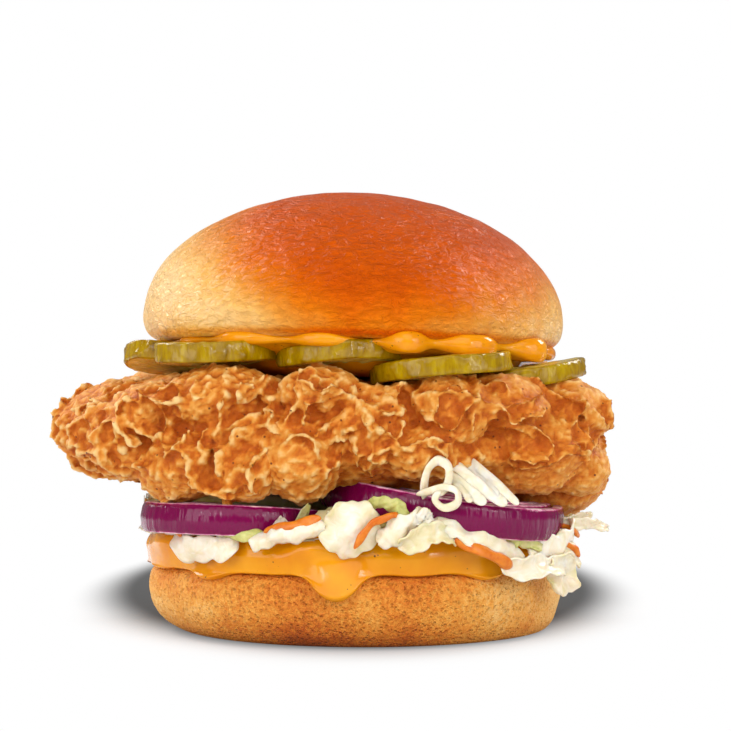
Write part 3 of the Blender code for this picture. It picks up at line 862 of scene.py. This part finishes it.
def make_slaw_core(cabbage):
    """The heap's hidden middle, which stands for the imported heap."""
    bottom = span("slaw")[0][2]
    bearing = turns(300)
    rings = []
    profile = ((0.3, -0.6), (0.8, -0.6), (0.97, 0.0), (1.0, 0.4), (0.97, 0.8), (0.86, 0.96), (0.5, 1.0))
    for share, lift in profile:
        flat = polar(share * CORE_RADIUS, bearing, 0 * bearing)
        height = bottom + (slaw_lid(flat) - bottom) * max(lift, 0) + min(lift, 0)
        radius = share * (CORE_RADIUS + 1.6 * grain_noise(flat, 7, 31))
        rings.append(polar(radius, bearing, height + 0.4 * grain_noise(flat, 5, 33)))
    points, faces = capped(np.array(rings))
    green = 0.35 + 0.3 * grain_noise(points, 6, 32)
    serve("slaw_core", (points, faces), cabbage, "slaw", "slaw", green=green)


def make_slaw(cabbage, carrot):
    """Shreds heaped on a smaller core, and hanging out over the sauce all round."""
    make_slaw_core(cabbage)
    bottom = span("slaw")[0][2]
    rng = np.random.default_rng(7)
    shreds, greens, carrots = [], [], []
    for kind, width, thickness, green, line in FRONT_SHREDS:
        body = laid_shred(rng, kind, width, thickness, line)
        if kind == "carrot":
            carrots.append(body)
        else:
            shreds.append(body)
            greens.append(np.full(len(body[0]), green))
    for _ in range(LOOSE_SHREDS):
        place = 2 * math.pi * rng.uniform()
        start = polar(rng.uniform(43, 54), place, 0.0)
        start[2] = rng.uniform(bottom + 0.4, slaw_lid(start[None, :])[0])
        heading = place + math.pi / 2 * rng.choice([-1, 1]) + rng.uniform(-0.9, 0.9)
        is_carrot = rng.uniform() < CARROT_SHARE
        length, width, thickness = (rng.uniform(*cut) for cut in (CARROT_CUT if is_carrot else CABBAGE_CUT))
        body = ribbon(rng, start, heading, length, width, thickness, not is_carrot)
        points = body[0]
        reach = np.hypot(points[:, 0], points[:, 1])
        points[:, :2] *= np.minimum(1, rng.uniform(53.5, 56.5) / reach)[:, None]
        lid = slaw_lid(points) + rng.uniform(-0.6, 0.4)
        points[:, 2] = np.where(points[:, 2] > lid, lid + 0.12 * (points[:, 2] - lid), points[:, 2])
        points[:, 2] = np.maximum(points[:, 2], bottom + 2.4 + 0.1 * (points[:, 2] - bottom))
        if is_carrot:
            carrots.append(body)
        else:
            shreds.append(body)
            greens.append(np.full(len(points), max(0.0, rng.normal(0.16, 0.18))))
    serve("cabbage_shreds", joined(shreds), cabbage, "slaw", green=np.concatenate(greens))
    serve("carrot_shreds", joined(carrots), carrot, "slaw")


def make_leaf(name, node, centre, facing, size, lean, roll, cup, seed, material):
    """A torn piece of cabbage leaf with a thick rib and a ruffled edge, facing that bearing."""
    half_width, half_height = size
    v, u = np.meshgrid(np.linspace(-1, 1, 40), np.linspace(-1, 1, 40), indexing="ij")
    round_u, round_v = u * np.sqrt(1 - v * v / 2), v * np.sqrt(1 - u * u / 2)
    bearing = np.arctan2(round_v, round_u)
    torn = 1 + 0.10 * np.sin(2 * bearing + seed) + 0.06 * np.sin(5 * bearing + 2 * seed)
    torn += 0.03 * np.sin(11 * bearing)
    x, z = half_width * round_u * torn, half_height * round_v * torn
    far = round_u**2 + round_v**2
    folds = 1.1 * np.abs(grain_noise(np.stack([x, 0 * x, z], -1), 5, seed))
    y = cup * far + 0.8 * far * np.sin(4 * bearing + seed) + folds - 0.5
    thick = 0.8 + 0.7 * np.exp(-((x / 1.6) ** 2)) * (z < half_height * 0.5) - 0.3 * far
    points, faces = plate(np.stack([x, y, z], -1), thick)
    turn = Matrix.Rotation(facing + math.pi / 2, 3, "Z") @ Matrix.Rotation(lean, 3, "X")
    turn = turn @ Matrix.Rotation(roll, 3, "Y")
    points = points @ np.array(turn).T + np.asarray(centre)
    green = 0.12 * np.tile(far.ravel(), 2) + 0.15 * grain_noise(points, 5, seed)
    serve(name, (points, faces), material, "slaw", node, green=green)


def make_leaves(cabbage):
    node = "cabbage_leaf_front"
    place = middle(node) - [0, 2.2, 0]
    make_leaf("front_cabbage_leaf", node, place, -math.pi / 2, (6.2, 7.4), 0.15, 0.3, 1.6, 1, cabbage)
    node = "cabbage_leaf_right"
    facing = math.radians(-48)
    make_leaf("right_cabbage_leaf", node, middle(node), facing, (6.8, 4.4), 0.1, 0.6, -1.2, 4, cabbage)


# Strands of the tuft: width, thickness, and a line of (place along X, distance in front of the tuft, height).
CURL = ((16.6, 10, 34.6), (15.9, 12, 38.4), (16.8, 12.4, 42.6), (19.4, 12.4, 45.0), (22.2, 12.4, 43.0))
CURL += ((21.6, 12.8, 38.6), (19.0, 13.6, 36.4))
LOOP = ((14.2, 13, 36.6), (17.4, 14, 37.4), (20.6, 14, 38.6), (24.0, 14, 37.6), (24.0, 14.2, 34.4))
LOOP += ((20.4, 14.2, 33.2), (18.0, 14.4, 35.6), (19.8, 14, 37.6))
TUFT_STRANDS = (
    (2.3, 0.9, CURL),
    (1.9, 0.9, LOOP),
    (3.0, 0.8, ((21.4, 6, 45.0), (25.4, 10, 41.8), (30.0, 11, 37.4), (35.4, 11, 34.2))),
    (2.7, 0.8, ((20.6, 6, 43.0), (23.8, 10.4, 40.2), (27.0, 12, 37.0), (30.4, 12, 34.4))),
    (2.6, 0.8, ((24.4, 4, 45.6), (29.4, 8, 42.4), (34.0, 10, 38.0), (38.2, 10, 34.2))),
    (2.2, 0.8, ((22.6, 9, 40.6), (25.0, 12, 38.0), (27.0, 13, 34.8))),
    (2.6, 0.8, ((26.0, 6, 44.6), (30.6, 9, 39.8), (33.0, 11, 35.6))),
)


def make_tuft(cabbage):
    """A curl and a few strips of cabbage that spill from under the fillet onto the right onion."""
    back = middle("slaw_tuft")[1]
    rng = np.random.default_rng(23)
    bodies = []
    for width, thickness, line in TUFT_STRANDS:
        path = drawn_out(line, 10)
        path[:, 1] = back - path[:, 1]
        path = eased(path, 24)
        share = np.linspace(0, 1, len(path))
        ends = taper(share, 8, 0.05) * (1 + 0.1 * np.sin(share * rng.uniform(9, 16)))
        tilt = rng.uniform(-0.5, 0.5) + 0.5 * np.sin(share * rng.uniform(2, 5) + rng.uniform(0, 6))
        up = unit(np.stack([0.15 + tilt, -1 + 0 * tilt, 0.35 - 0.5 * tilt], -1))
        bodies.append(strand(path, width * ends, thickness * ends, up, 12))
    points, faces = joined(bodies)
    green = 0.02 + 0.12 * grain_noise(points, 6, 50)
    serve("curled_cabbage", (points, faces), cabbage, "slaw", "slaw_tuft", green=green)


# ---- fillet ----

SQUARENESS = 2.3  # of the fillet's outline: 2 would be an ellipse
CRUST_INSET = 5.4
FLAKES = 420
WANDERING_CRESTS = 190
FRONT_VOXEL, BACK_VOXEL, QUICK_VOXEL = 0.62, 0.9, 1.2


def fillet_place(bearing, share, upper, inset=CRUST_INSET):
    """A point on the fillet's smooth under-form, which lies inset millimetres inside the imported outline."""
    low, high = span("fillet")
    centre, half = (low + high) / 2, (high - low) / 2 - [inset, inset, 0]
    c, s = np.abs(np.cos(bearing)) / half[0], np.abs(np.sin(bearing)) / half[1]
    radius = share * (c**SQUARENESS + s**SQUARENESS) ** (-1 / SQUARENESS)
    x, y = centre[0] + radius * np.cos(bearing), centre[1] + radius * np.sin(bearing)
    widest = centre[2] - 3.6 - 5.0 * np.cos(bearing)
    # The underside arches up over the slaw at the front right, and the left tip is thinner.
    arch = 7.5 * np.exp(-(((x - 24) / 12) ** 2)) * smooth_step(-28, -50, y)
    arch += 11 * smooth_step(-50, -74, x)
    roof = high[2] - 3.6 - 0.045 * x - 9 * smooth_step(-46, -76, x)
    floor = low[2] + 2.4 - 0.045 * np.clip(x, 0, None) + arch
    height = widest + (1 - share**5) ** 0.55 * (np.where(upper, roof, floor) - widest)
    return np.stack(np.broadcast_arrays(x, y, height), -1)


# Swellings of the fillet along its front: place along X, height, half length, half height, tip in degrees.
FRONT_LOBES = (
    (-61.5, 50.6, 8.0, 5.4, 4),
    (-55.0, 48.8, 11.5, 9.4, 22),
    (-50.0, 56.0, 10.5, 7.0, -16),
    (-33.0, 59.0, 15.0, 8.0, -6),
    (-37.5, 44.6, 15.0, 9.5, -18),
    (-24.0, 41.5, 10.0, 6.5, -24),
    (-13.0, 46.0, 11.5, 11.5, 30),
    (-9.0, 60.5, 10.0, 6.0, 0),
    (4.0, 52.0, 9.5, 11.0, 10),
    (14.5, 46.6, 11.0, 7.6, 0),
    (21.5, 56.0, 11.0, 9.4, -12),
    (36.0, 57.4, 12.0, 8.4, 8),
    (42.0, 47.6, 15.5, 13.0, 6),
    (52.0, 57.0, 11.5, 8.0, 14),
    (53.5, 42.0, 9.5, 7.4, 4),
)
# Raised edges of crust along its front, each a line of (place along X, height).
FRONT_CRESTS = (
    ((-27.5, 57.0), (-25.0, 61.5), (-21.0, 62.5), (-18.0, 59.0), (-18.5, 54.5), (-22.0, 52.5)),
    ((-22.5, 53.0), (-26.5, 49.5), (-30.0, 45.0), (-31.5, 40.5)),
    ((-39.0, 43.0), (-36.0, 39.5), (-32.0, 36.6), (-28.0, 35.4)),
    ((-57.0, 58.0), (-56.5, 53.0), (-53.5, 49.5), (-50.0, 48.5)),
    ((-52.0, 61.5), (-47.0, 59.0), (-43.0, 57.6), (-39.5, 58.4)),
    ((-70.0, 55.0), (-66.0, 58.0), (-61.0, 58.0)),
    ((8.0, 58.0), (8.6, 61.5), (12.0, 62.5), (15.0, 59.5)),
    ((19.0, 60.5), (17.0, 57.5), (17.0, 53.5)),
    ((20.0, 61.0), (25.0, 59.5), (30.5, 56.0), (32.0, 54.0), (28.0, 50.5), (22.0, 50.0)),
    ((29.0, 60.5), (34.0, 58.0), (36.5, 54.8), (40.5, 55.6), (45.0, 58.0)),
    ((36.0, 46.5), (41.0, 44.8), (46.0, 45.8)),
    ((50.0, 59.5), (55.5, 57.5), (58.0, 52.5), (58.5, 47.0)),
    ((-14.0, 63.0), (-9.0, 59.5), (-5.0, 60.5), (-1.0, 57.0)),
    ((-6.0, 49.0), (-2.5, 52.5), (1.0, 51.5)),
)


def lobe(centre, radii, tip):
    """A rounded swelling, tipped about Y."""
    rise = np.linspace(-1.45, 1.45, 24)[:, None]
    ball = polar(np.cos(rise), turns(40)[None, :], np.sin(rise)) * radii
    points, faces = capped(ball @ np.array(Matrix.Rotation(tip, 3, "Y")).T)
    bump = 1 + 0.10 * grain_noise(points + np.asarray(centre), 9, 61) + 0.05 * grain_noise(points, 4, 62)
    return points * bump[:, None] + centre, faces


def outline_radius(bearing):
    low, high = span("fillet")
    half = (high - low) / 2
    c, s = abs(math.cos(bearing)) / half[0], abs(math.sin(bearing)) / half[1]
    return (c**SQUARENESS + s**SQUARENESS) ** (-1 / SQUARENESS)


def front_edge(x):
    """How far forward the fillet's outline reaches at x."""
    low, high = span("fillet")
    centre, half = (low + high) / 2, (high - low) / 2
    share = min(0.97, abs(x - centre[0]) / half[0])
    return centre[1] - half[1] * (1 - share**SQUARENESS) ** (1 / SQUARENESS)


def fillet_lobes(rng):
    """The swellings along the front, and others like them round the sides and the back."""
    centre = middle("fillet")
    bodies = []
    for x, height, half_length, half_height, tip in FRONT_LOBES:
        deep = 0.9 * half_length
        y = front_edge(x) + deep + 1.8
        bodies.append(lobe((x, min(y, -8.0), height), (half_length, deep, half_height), math.radians(tip)))
    for degrees in range(-8, 190, 17):
        bearing = math.radians(degrees + rng.uniform(-4, 4))
        for level in (-1, 1):
            size = rng.uniform(11, 16)
            reach = outline_radius(bearing) - size - 1.6
            level *= 1 - 0.45 * max(0.0, -math.cos(bearing)) ** 4
            widest = centre[2] - 3.0 - 5.0 * math.cos(bearing)
            x, y = centre[0] + reach * math.cos(bearing), centre[1] + reach * math.sin(bearing)
            place = (x, y, widest + level * rng.uniform(5.5, 7.5))
            bodies.append(lobe(place, (size, size, rng.uniform(7.5, 9.5)), rng.uniform(-0.3, 0.3)))
    return bodies


def flake(rng, place, normal, size, lift):
    """A curled scale of crust: buried at its root, bent up and ruffled at its free edge."""
    across = unit(np.cross(normal, unit(rng.normal(size=3))))
    along = np.cross(normal, across)
    v, u = np.meshgrid(np.linspace(0, 1, 12), np.linspace(-1, 1, 14), indexing="ij")
    width = size * (0.5 + 0.5 * np.sin(np.pi * (0.2 + 0.62 * v))) * rng.uniform(0.6, 1.1)
    ruffle = np.sin(u * rng.uniform(2, 6) + rng.uniform(0, 6)) * v**1.5
    cup = rng.uniform(-0.3, 0.5) * size * 0.3
    x = u * width * 0.62
    y = size * (v * rng.uniform(0.8, 1.1) - 0.3 * u * u * v)
    z = -1.4 + lift * v ** rng.uniform(0.8, 2.2) + cup * u * u * (0.3 + 0.7 * v) + 0.09 * size * ruffle
    grid = place + x[..., None] * across + (y[..., None] - size * 0.4) * along + z[..., None] * normal
    return plate(grid, 1.5 - 0.6 * v)


def crest(rng, under, line):
    """A raised, curling edge of crust that follows a line drawn on the front."""
    path = []
    for x, z in eased(drawn_out(line, 8), 4):
        hit = under.ray_cast(Vector((x, -120, z)), Vector((0, 1, 0)))[0]
        if hit is not None:
            path.append(tuple(hit))
    path = np.array(path)
    path[:, 1] = np.minimum(path[:, 1], np.median(path[:, 1]) + 4) - 1.1
    path = path + 0.35 * drift(path, 3, 81)
    share = np.linspace(0, 1, len(path))
    swell = taper(share, 4, 0.04) * (1 + 0.2 * np.sin(share * 17 + rng.uniform(0, 6)))
    up = np.tile(unit(np.array([rng.uniform(-0.5, 0.5), -0.35, rng.uniform(-0.4, 0.4)])), (len(path), 1))
    return strand(path, 1.7 * swell, 6.4 * swell, up, 10)


def wandering_crest(rng, under):
    """A curling ridge of crust that wanders over the fillet's side at a place left to chance."""
    heart = middle("fillet")
    bearing, height = rng.uniform(-math.pi, math.pi), heart[2] + rng.uniform(-9, 11)
    heading, bend = rng.uniform(0, 2 * math.pi), rng.uniform(-0.22, 0.22)
    path, outward = [], []
    for _ in range(int(rng.uniform(7, 17))):
        aim = np.array([math.cos(bearing), math.sin(bearing), 0])
        hit = under.ray_cast(Vector(heart * [1, 1, 0] + 120 * aim + [0, 0, height]), Vector(-aim))[0]
        if hit is None:
            break
        path.append(tuple(hit))
        outward.append(aim)
        bearing += math.cos(heading) / outline_radius(bearing)
        height += math.sin(heading)
        heading += bend + 0.1 * rng.uniform(-1, 1)
    if len(path) < 6:
        return None
    path, outward = eased(np.array(path), 3), np.array(outward)
    share = np.linspace(0, 1, len(path))
    swell = taper(share, 4, 0.06) * (1 + 0.2 * np.sin(share * 13 + rng.uniform(0, 6)))
    up = unit(outward + [0, 0, rng.uniform(-0.7, 0.7)])
    return strand(path + 0.3 * outward, 1.5 * swell, rng.uniform(3.2, 5.4) * swell, up, 8)


def scattered_flakes(rng, under):
    """Scales of crust all over the fillet, each with its bearing, fewer on the smoother front."""
    centre = middle("fillet")
    flakes = []
    while len(flakes) < FLAKES:
        bearing = rng.uniform(-math.pi, math.pi)
        rise = math.asin(rng.uniform(-0.95, 0.95))
        level = np.array([math.cos(bearing), math.sin(bearing), 0])
        aim = level * math.cos(rise) + [0, 0, math.sin(rise)]
        heart = centre + outline_radius(bearing) * 0.62 * level
        hit, normal, _, _ = under.ray_cast(Vector(heart + 60 * aim), Vector(-aim))
        if hit is None:
            continue
        smooth_side = smooth_step(10, 34, hit[0]) * (hit[1] < 0)
        if rng.uniform() < 0.5 * (hit[1] < -15) + 0.3 * smooth_side:
            continue
        size = rng.uniform(3.0, 7.5)
        lift = rng.uniform(0.4, 1.8) if rng.uniform() < 0.85 else rng.uniform(1.8, 3.0)
        outward = np.array(normal) if np.dot(normal, aim) > 0 else -np.array(normal)
        flakes.append((bearing, flake(rng, np.array(hit), outward, size, lift * (1 - 0.4 * smooth_side))))
    return flakes


def rim_sector(first, last):
    """The fillet's rim between two bearings as a closed body."""
    bearing = np.linspace(first, last, int((last - first) * 40))
    outward = np.sin(np.linspace(0.36, 1, 30) * math.pi / 2)
    shares = np.concatenate([outward, outward[::-1][1:]])
    upper = np.arange(len(shares)) >= len(outward) - 1
    sections = fillet_place(bearing[:, None], shares[None, :], upper[None, :])
    if last - first < 2 * math.pi - 0.1:
        heart = middle("fillet")
        ends = [0, 1, -2, -1]
        sections[ends] = heart + (sections[ends] - heart) * [0.95, 0.95, 0.9]
    points, faces = capped(sections)
    return points, [face[::-1] for face in faces]


def crinkle(mesh):
    """Works folds and fine crumbs into a skin of crust, and gives how far each point stands proud, shown as
    painted highlight and shade.
    """
    points, normal = mesh_points(mesh), mesh_normals(mesh)
    warp = drift(points, 7, 71) * 2.4
    folds = 1 - np.abs(grain_noise(points + warp, 8, 74)) * 2.4
    lumps = np.abs(grain_noise(points + 0.5 * warp, 2.7, 75)) * 2.0
    ridges = np.clip(1 - np.abs(grain_noise(points + warp, 4.4, 79)) * 3.4, -0.5, 1)
    popcorn = smooth_step(-18, -26, points[:, 0]) * smooth_step(56, 60, points[:, 2])
    ridged = smooth_step(-0.3, 0.3, grain_noise(points, 17, 80)) * (1 - popcorn)
    crumbs = np.abs(grain_noise(points, 1.5, 78)) * 1.6
    rough_side = 1 - 0.45 * smooth_step(5, 40, points[:, 0]) * (points[:, 1] < 0)
    height = rough_side * (0.35 * folds + 0.75 * lumps * (1 - 0.75 * ridged) + 0.7 * ridges * ridged)
    height += 0.5 * crumbs + 0.5 * grain_noise(points, 14, 76) - 0.9
    points = points + normal * height[:, None]
    points[:, 2] = np.minimum(points[:, 2], span("fillet")[1][2] + 0.8)
    mesh.vertices.foreach_set("co", (points * MM).astype(np.float32).ravel())
    mesh.update()
    normal = mesh_normals(mesh)
    wide = np.sum((points - softened(mesh, points, 40)) * normal, -1)
    near = np.sum((points - softened(mesh, points, 6)) * normal, -1)
    # Painted highlight where the skin stands proud, painted shade in its hollows.
    crisp = 0.24 + 0.12 * np.clip(wide, -1.8, 2) + 0.7 * np.clip(near, -0.4, 0.4)
    return np.clip(crisp + 0.08 * grain_noise(points, 16, 77), 0, 0.8)


def make_fillet(breading):
    """The fried fillet: lobes under hundreds of curled scales of crust, welded into one skin.

    Its crust is made in sectors that run a little way into each other, so the joints look like folds.
    """
    rng = np.random.default_rng(11)
    lobes = fillet_lobes(rng)
    points, faces = joined([rim_sector(0.0, 2 * math.pi)] + lobes)
    under = BVHTree.FromPolygons([Vector(p) for p in points], faces)
    crests = [crest(rng, under, line) for line in FRONT_CRESTS]
    crests += [body for body in (wandering_crest(rng, under) for _ in range(WANDERING_CRESTS)) if body]
    flakes = scattered_flakes(rng, under)
    centre = middle("fillet")
    sectors = (
        ("left", -math.pi, -1.75, FRONT_VOXEL, ("fillet",)),
        ("right", -1.75, 0.35, FRONT_VOXEL, ()),
        ("back", 0.35, math.pi, BACK_VOXEL, ()),
    )
    for side, first, last, voxel, stands_for in sectors:
        bodies = [rim_sector(first - 0.05, last + 0.05)]
        for body, is_lobe in [(body, True) for body in lobes] + [(body, False) for body in crests]:
            heart = body[0].mean(0)
            bearing = math.atan2(heart[1] - centre[1], heart[0] - centre[0])
            beyond = abs(math.remainder(bearing - (first + last) / 2, 2 * math.pi)) - (last - first) / 2
            if beyond < 0:
                bodies.append(body)
            elif beyond < 0.2 and is_lobe:
                bodies.append((heart + 0.9 * (body[0] - heart), body[1]))
        bodies += [body for bearing, body in flakes if first <= bearing < last]
        mesh = welded(f"crust {side}", bodies, voxel)
        crisp = crinkle(mesh)
        serve(f"fried_crust_{side}", mesh, breading, "fried_crust", *stands_for, crisp=crisp)
    rings = ((0.3, False), (0.72, False), (0.72, True), (0.3, True))
    points, faces = capped(np.array([fillet_place(turns(90), share, upper, 9.0) for share, upper in rings]))
    # The hidden middle gets the dark crust of painted shade.
    crisp = 0.2 + 0.1 * grain_noise(points, 8, 70)
    serve("fried_crust_middle", (points, faces), breading, "fried_crust", crisp=crisp)


# ---- studio ----

# Each soft box: name, place, size and watts.
SOFT_BOXES = (
    ("left back soft box", (-520, 270, 470), 380, 4.0),
    ("right back soft box", (520, 300, 440), 260, 2.6),
    ("left front soft box", (-620, -520, 200), 480, 2.3),
    ("right front soft box", (620, -520, 220), 480, 2.0),
    ("front overhead soft box", (0, -620, 560), 800, 3.4),
    ("left small soft box", (-330, -640, 240), 110, 0.42),
    ("right small soft box", (420, -560, 260), 110, 0.42),
)
AIM = Vector((0, 0, 60))
FLOOR_DROP = 0.1


def make_floor():
    """A broad pale floor that keeps the burger's shadow and runs to white.

    It is painted grey in a long oval under and behind the burger: a painted shadow that no lamp casts.
    """
    material = bpy.data.materials.new("Pale studio floor")
    material.use_nodes = True
    tree = material.node_tree
    shader = tree.nodes["Principled BSDF"]
    shader.inputs["Roughness"].default_value = 0.9
    shader.inputs["Specular IOR Level"].default_value = 0.0
    glow = add(tree, "Emission", {"Color": (1, 1, 1, 1), "Strength": 1.0})
    seen = add(tree, "LightPath").outputs["Is Camera Ray"]
    place = add(tree, "TexCoord").outputs["Object"]
    oval = add(tree, "Mapping", {"Vector": place, "Location": (0, -63 * MM, 0), "Scale": (1, 0.42, 1)})
    distance = add(tree, "VectorMath", {0: oval.outputs[0]}, operation="LENGTH").outputs["Value"]
    edge = {"Value": distance, "From Min": 73 * MM, "From Max": 98 * MM, "To Min": 0.0, "To Max": 1.0}
    fade = add(tree, "MapRange", edge, interpolation_type="SMOOTHSTEP").outputs[0]
    # Painted shadow: grey inside the oval, pale beyond it.
    tone = add(tree, "ValToRGB", {"Fac": fade}, stops=((0.0, "#5c5c5c"), (0.9, "#e9e9e9")))
    tree.links.new(tone.outputs["Color"], shader.inputs["Base Color"])
    share = add(tree, "Math", {0: seen, 1: fade}, operation="MULTIPLY").outputs[0]
    blend = add(tree, "MixShader", {0: share, 1: shader.outputs[0], 2: glow.outputs[0]})
    tree.links.new(blend.outputs[0], tree.nodes["Material Output"].inputs["Surface"])
    corners = np.array([(-6000, -3000, 0), (6000, -3000, 0), (6000, 9000, 0), (-6000, 9000, 0)])
    mesh = new_mesh("floor", corners - [0, 0, FLOOR_DROP], [(0, 1, 2, 3)])
    mesh.materials.append(material)
    put("floor", mesh)


def make_world():
    world = bpy.data.worlds.new("Studio air")
    bpy.context.scene.world = world
    world.use_nodes = True
    tree = world.node_tree
    path = add(tree, "LightPath").outputs
    clear = add(tree, "Math", {0: path["Is Camera Ray"], 1: path["Is Transmission Ray"]}, operation="MAXIMUM")
    strength = add(tree, "MapRange", {"Value": clear.outputs[0], "To Min": 0.24, "To Max": 1.0})
    sky = tree.nodes["Background"]
    sky.inputs["Color"].default_value = (1, 1, 1, 1)
    tree.links.new(strength.outputs[0], sky.inputs["Strength"])


def make_lights():
    """Square studio lights, all aimed at the burger's middle."""
    for name, place, size, watts in SOFT_BOXES:
        lamp = bpy.data.lights.new(name, "AREA")
        lamp.size = size * MM
        lamp.energy = watts
        holder = put(name, lamp)
        holder.location = Vector(place) * MM
        holder.rotation_euler = (AIM - Vector(place)).to_track_quat("-Z", "Y").to_euler()


def make_camera():
    """A long lens at the height of the fillet, tipped up a little."""
    lens = bpy.data.cameras.new("camera")
    lens.sensor_width = 36
    lens.lens = 90.5
    lens.clip_end = 100
    camera = put("camera", lens)
    camera.location = Vector((2.5, -480, 53.4)) * MM
    camera.rotation_euler = (math.radians(90 + 1.76), 0, 0)
    bpy.context.scene.camera = camera


def main():
    make_camera()
    make_floor()
    make_world()
    make_lights()
    bpy.context.scene.view_settings.view_transform = "Standard"
    sauce, onion, gherkin, cabbage = cheddar_sauce(), onion_flesh(), brined_gherkin(), cut_cabbage()
    make_heel()
    make_lower_sauce(sauce)
    make_slaw(cabbage, cut_carrot())
    make_leaves(cabbage)
    make_tuft(cabbage)
    for node in ONIONS:
        make_onion(node, onion)
    make_fillet(fried_breading())
    for seed, node in enumerate(PICKLES):
        make_pickle(node, seed, gherkin)
    make_upper_sauce(sauce)
    make_crown()


main()
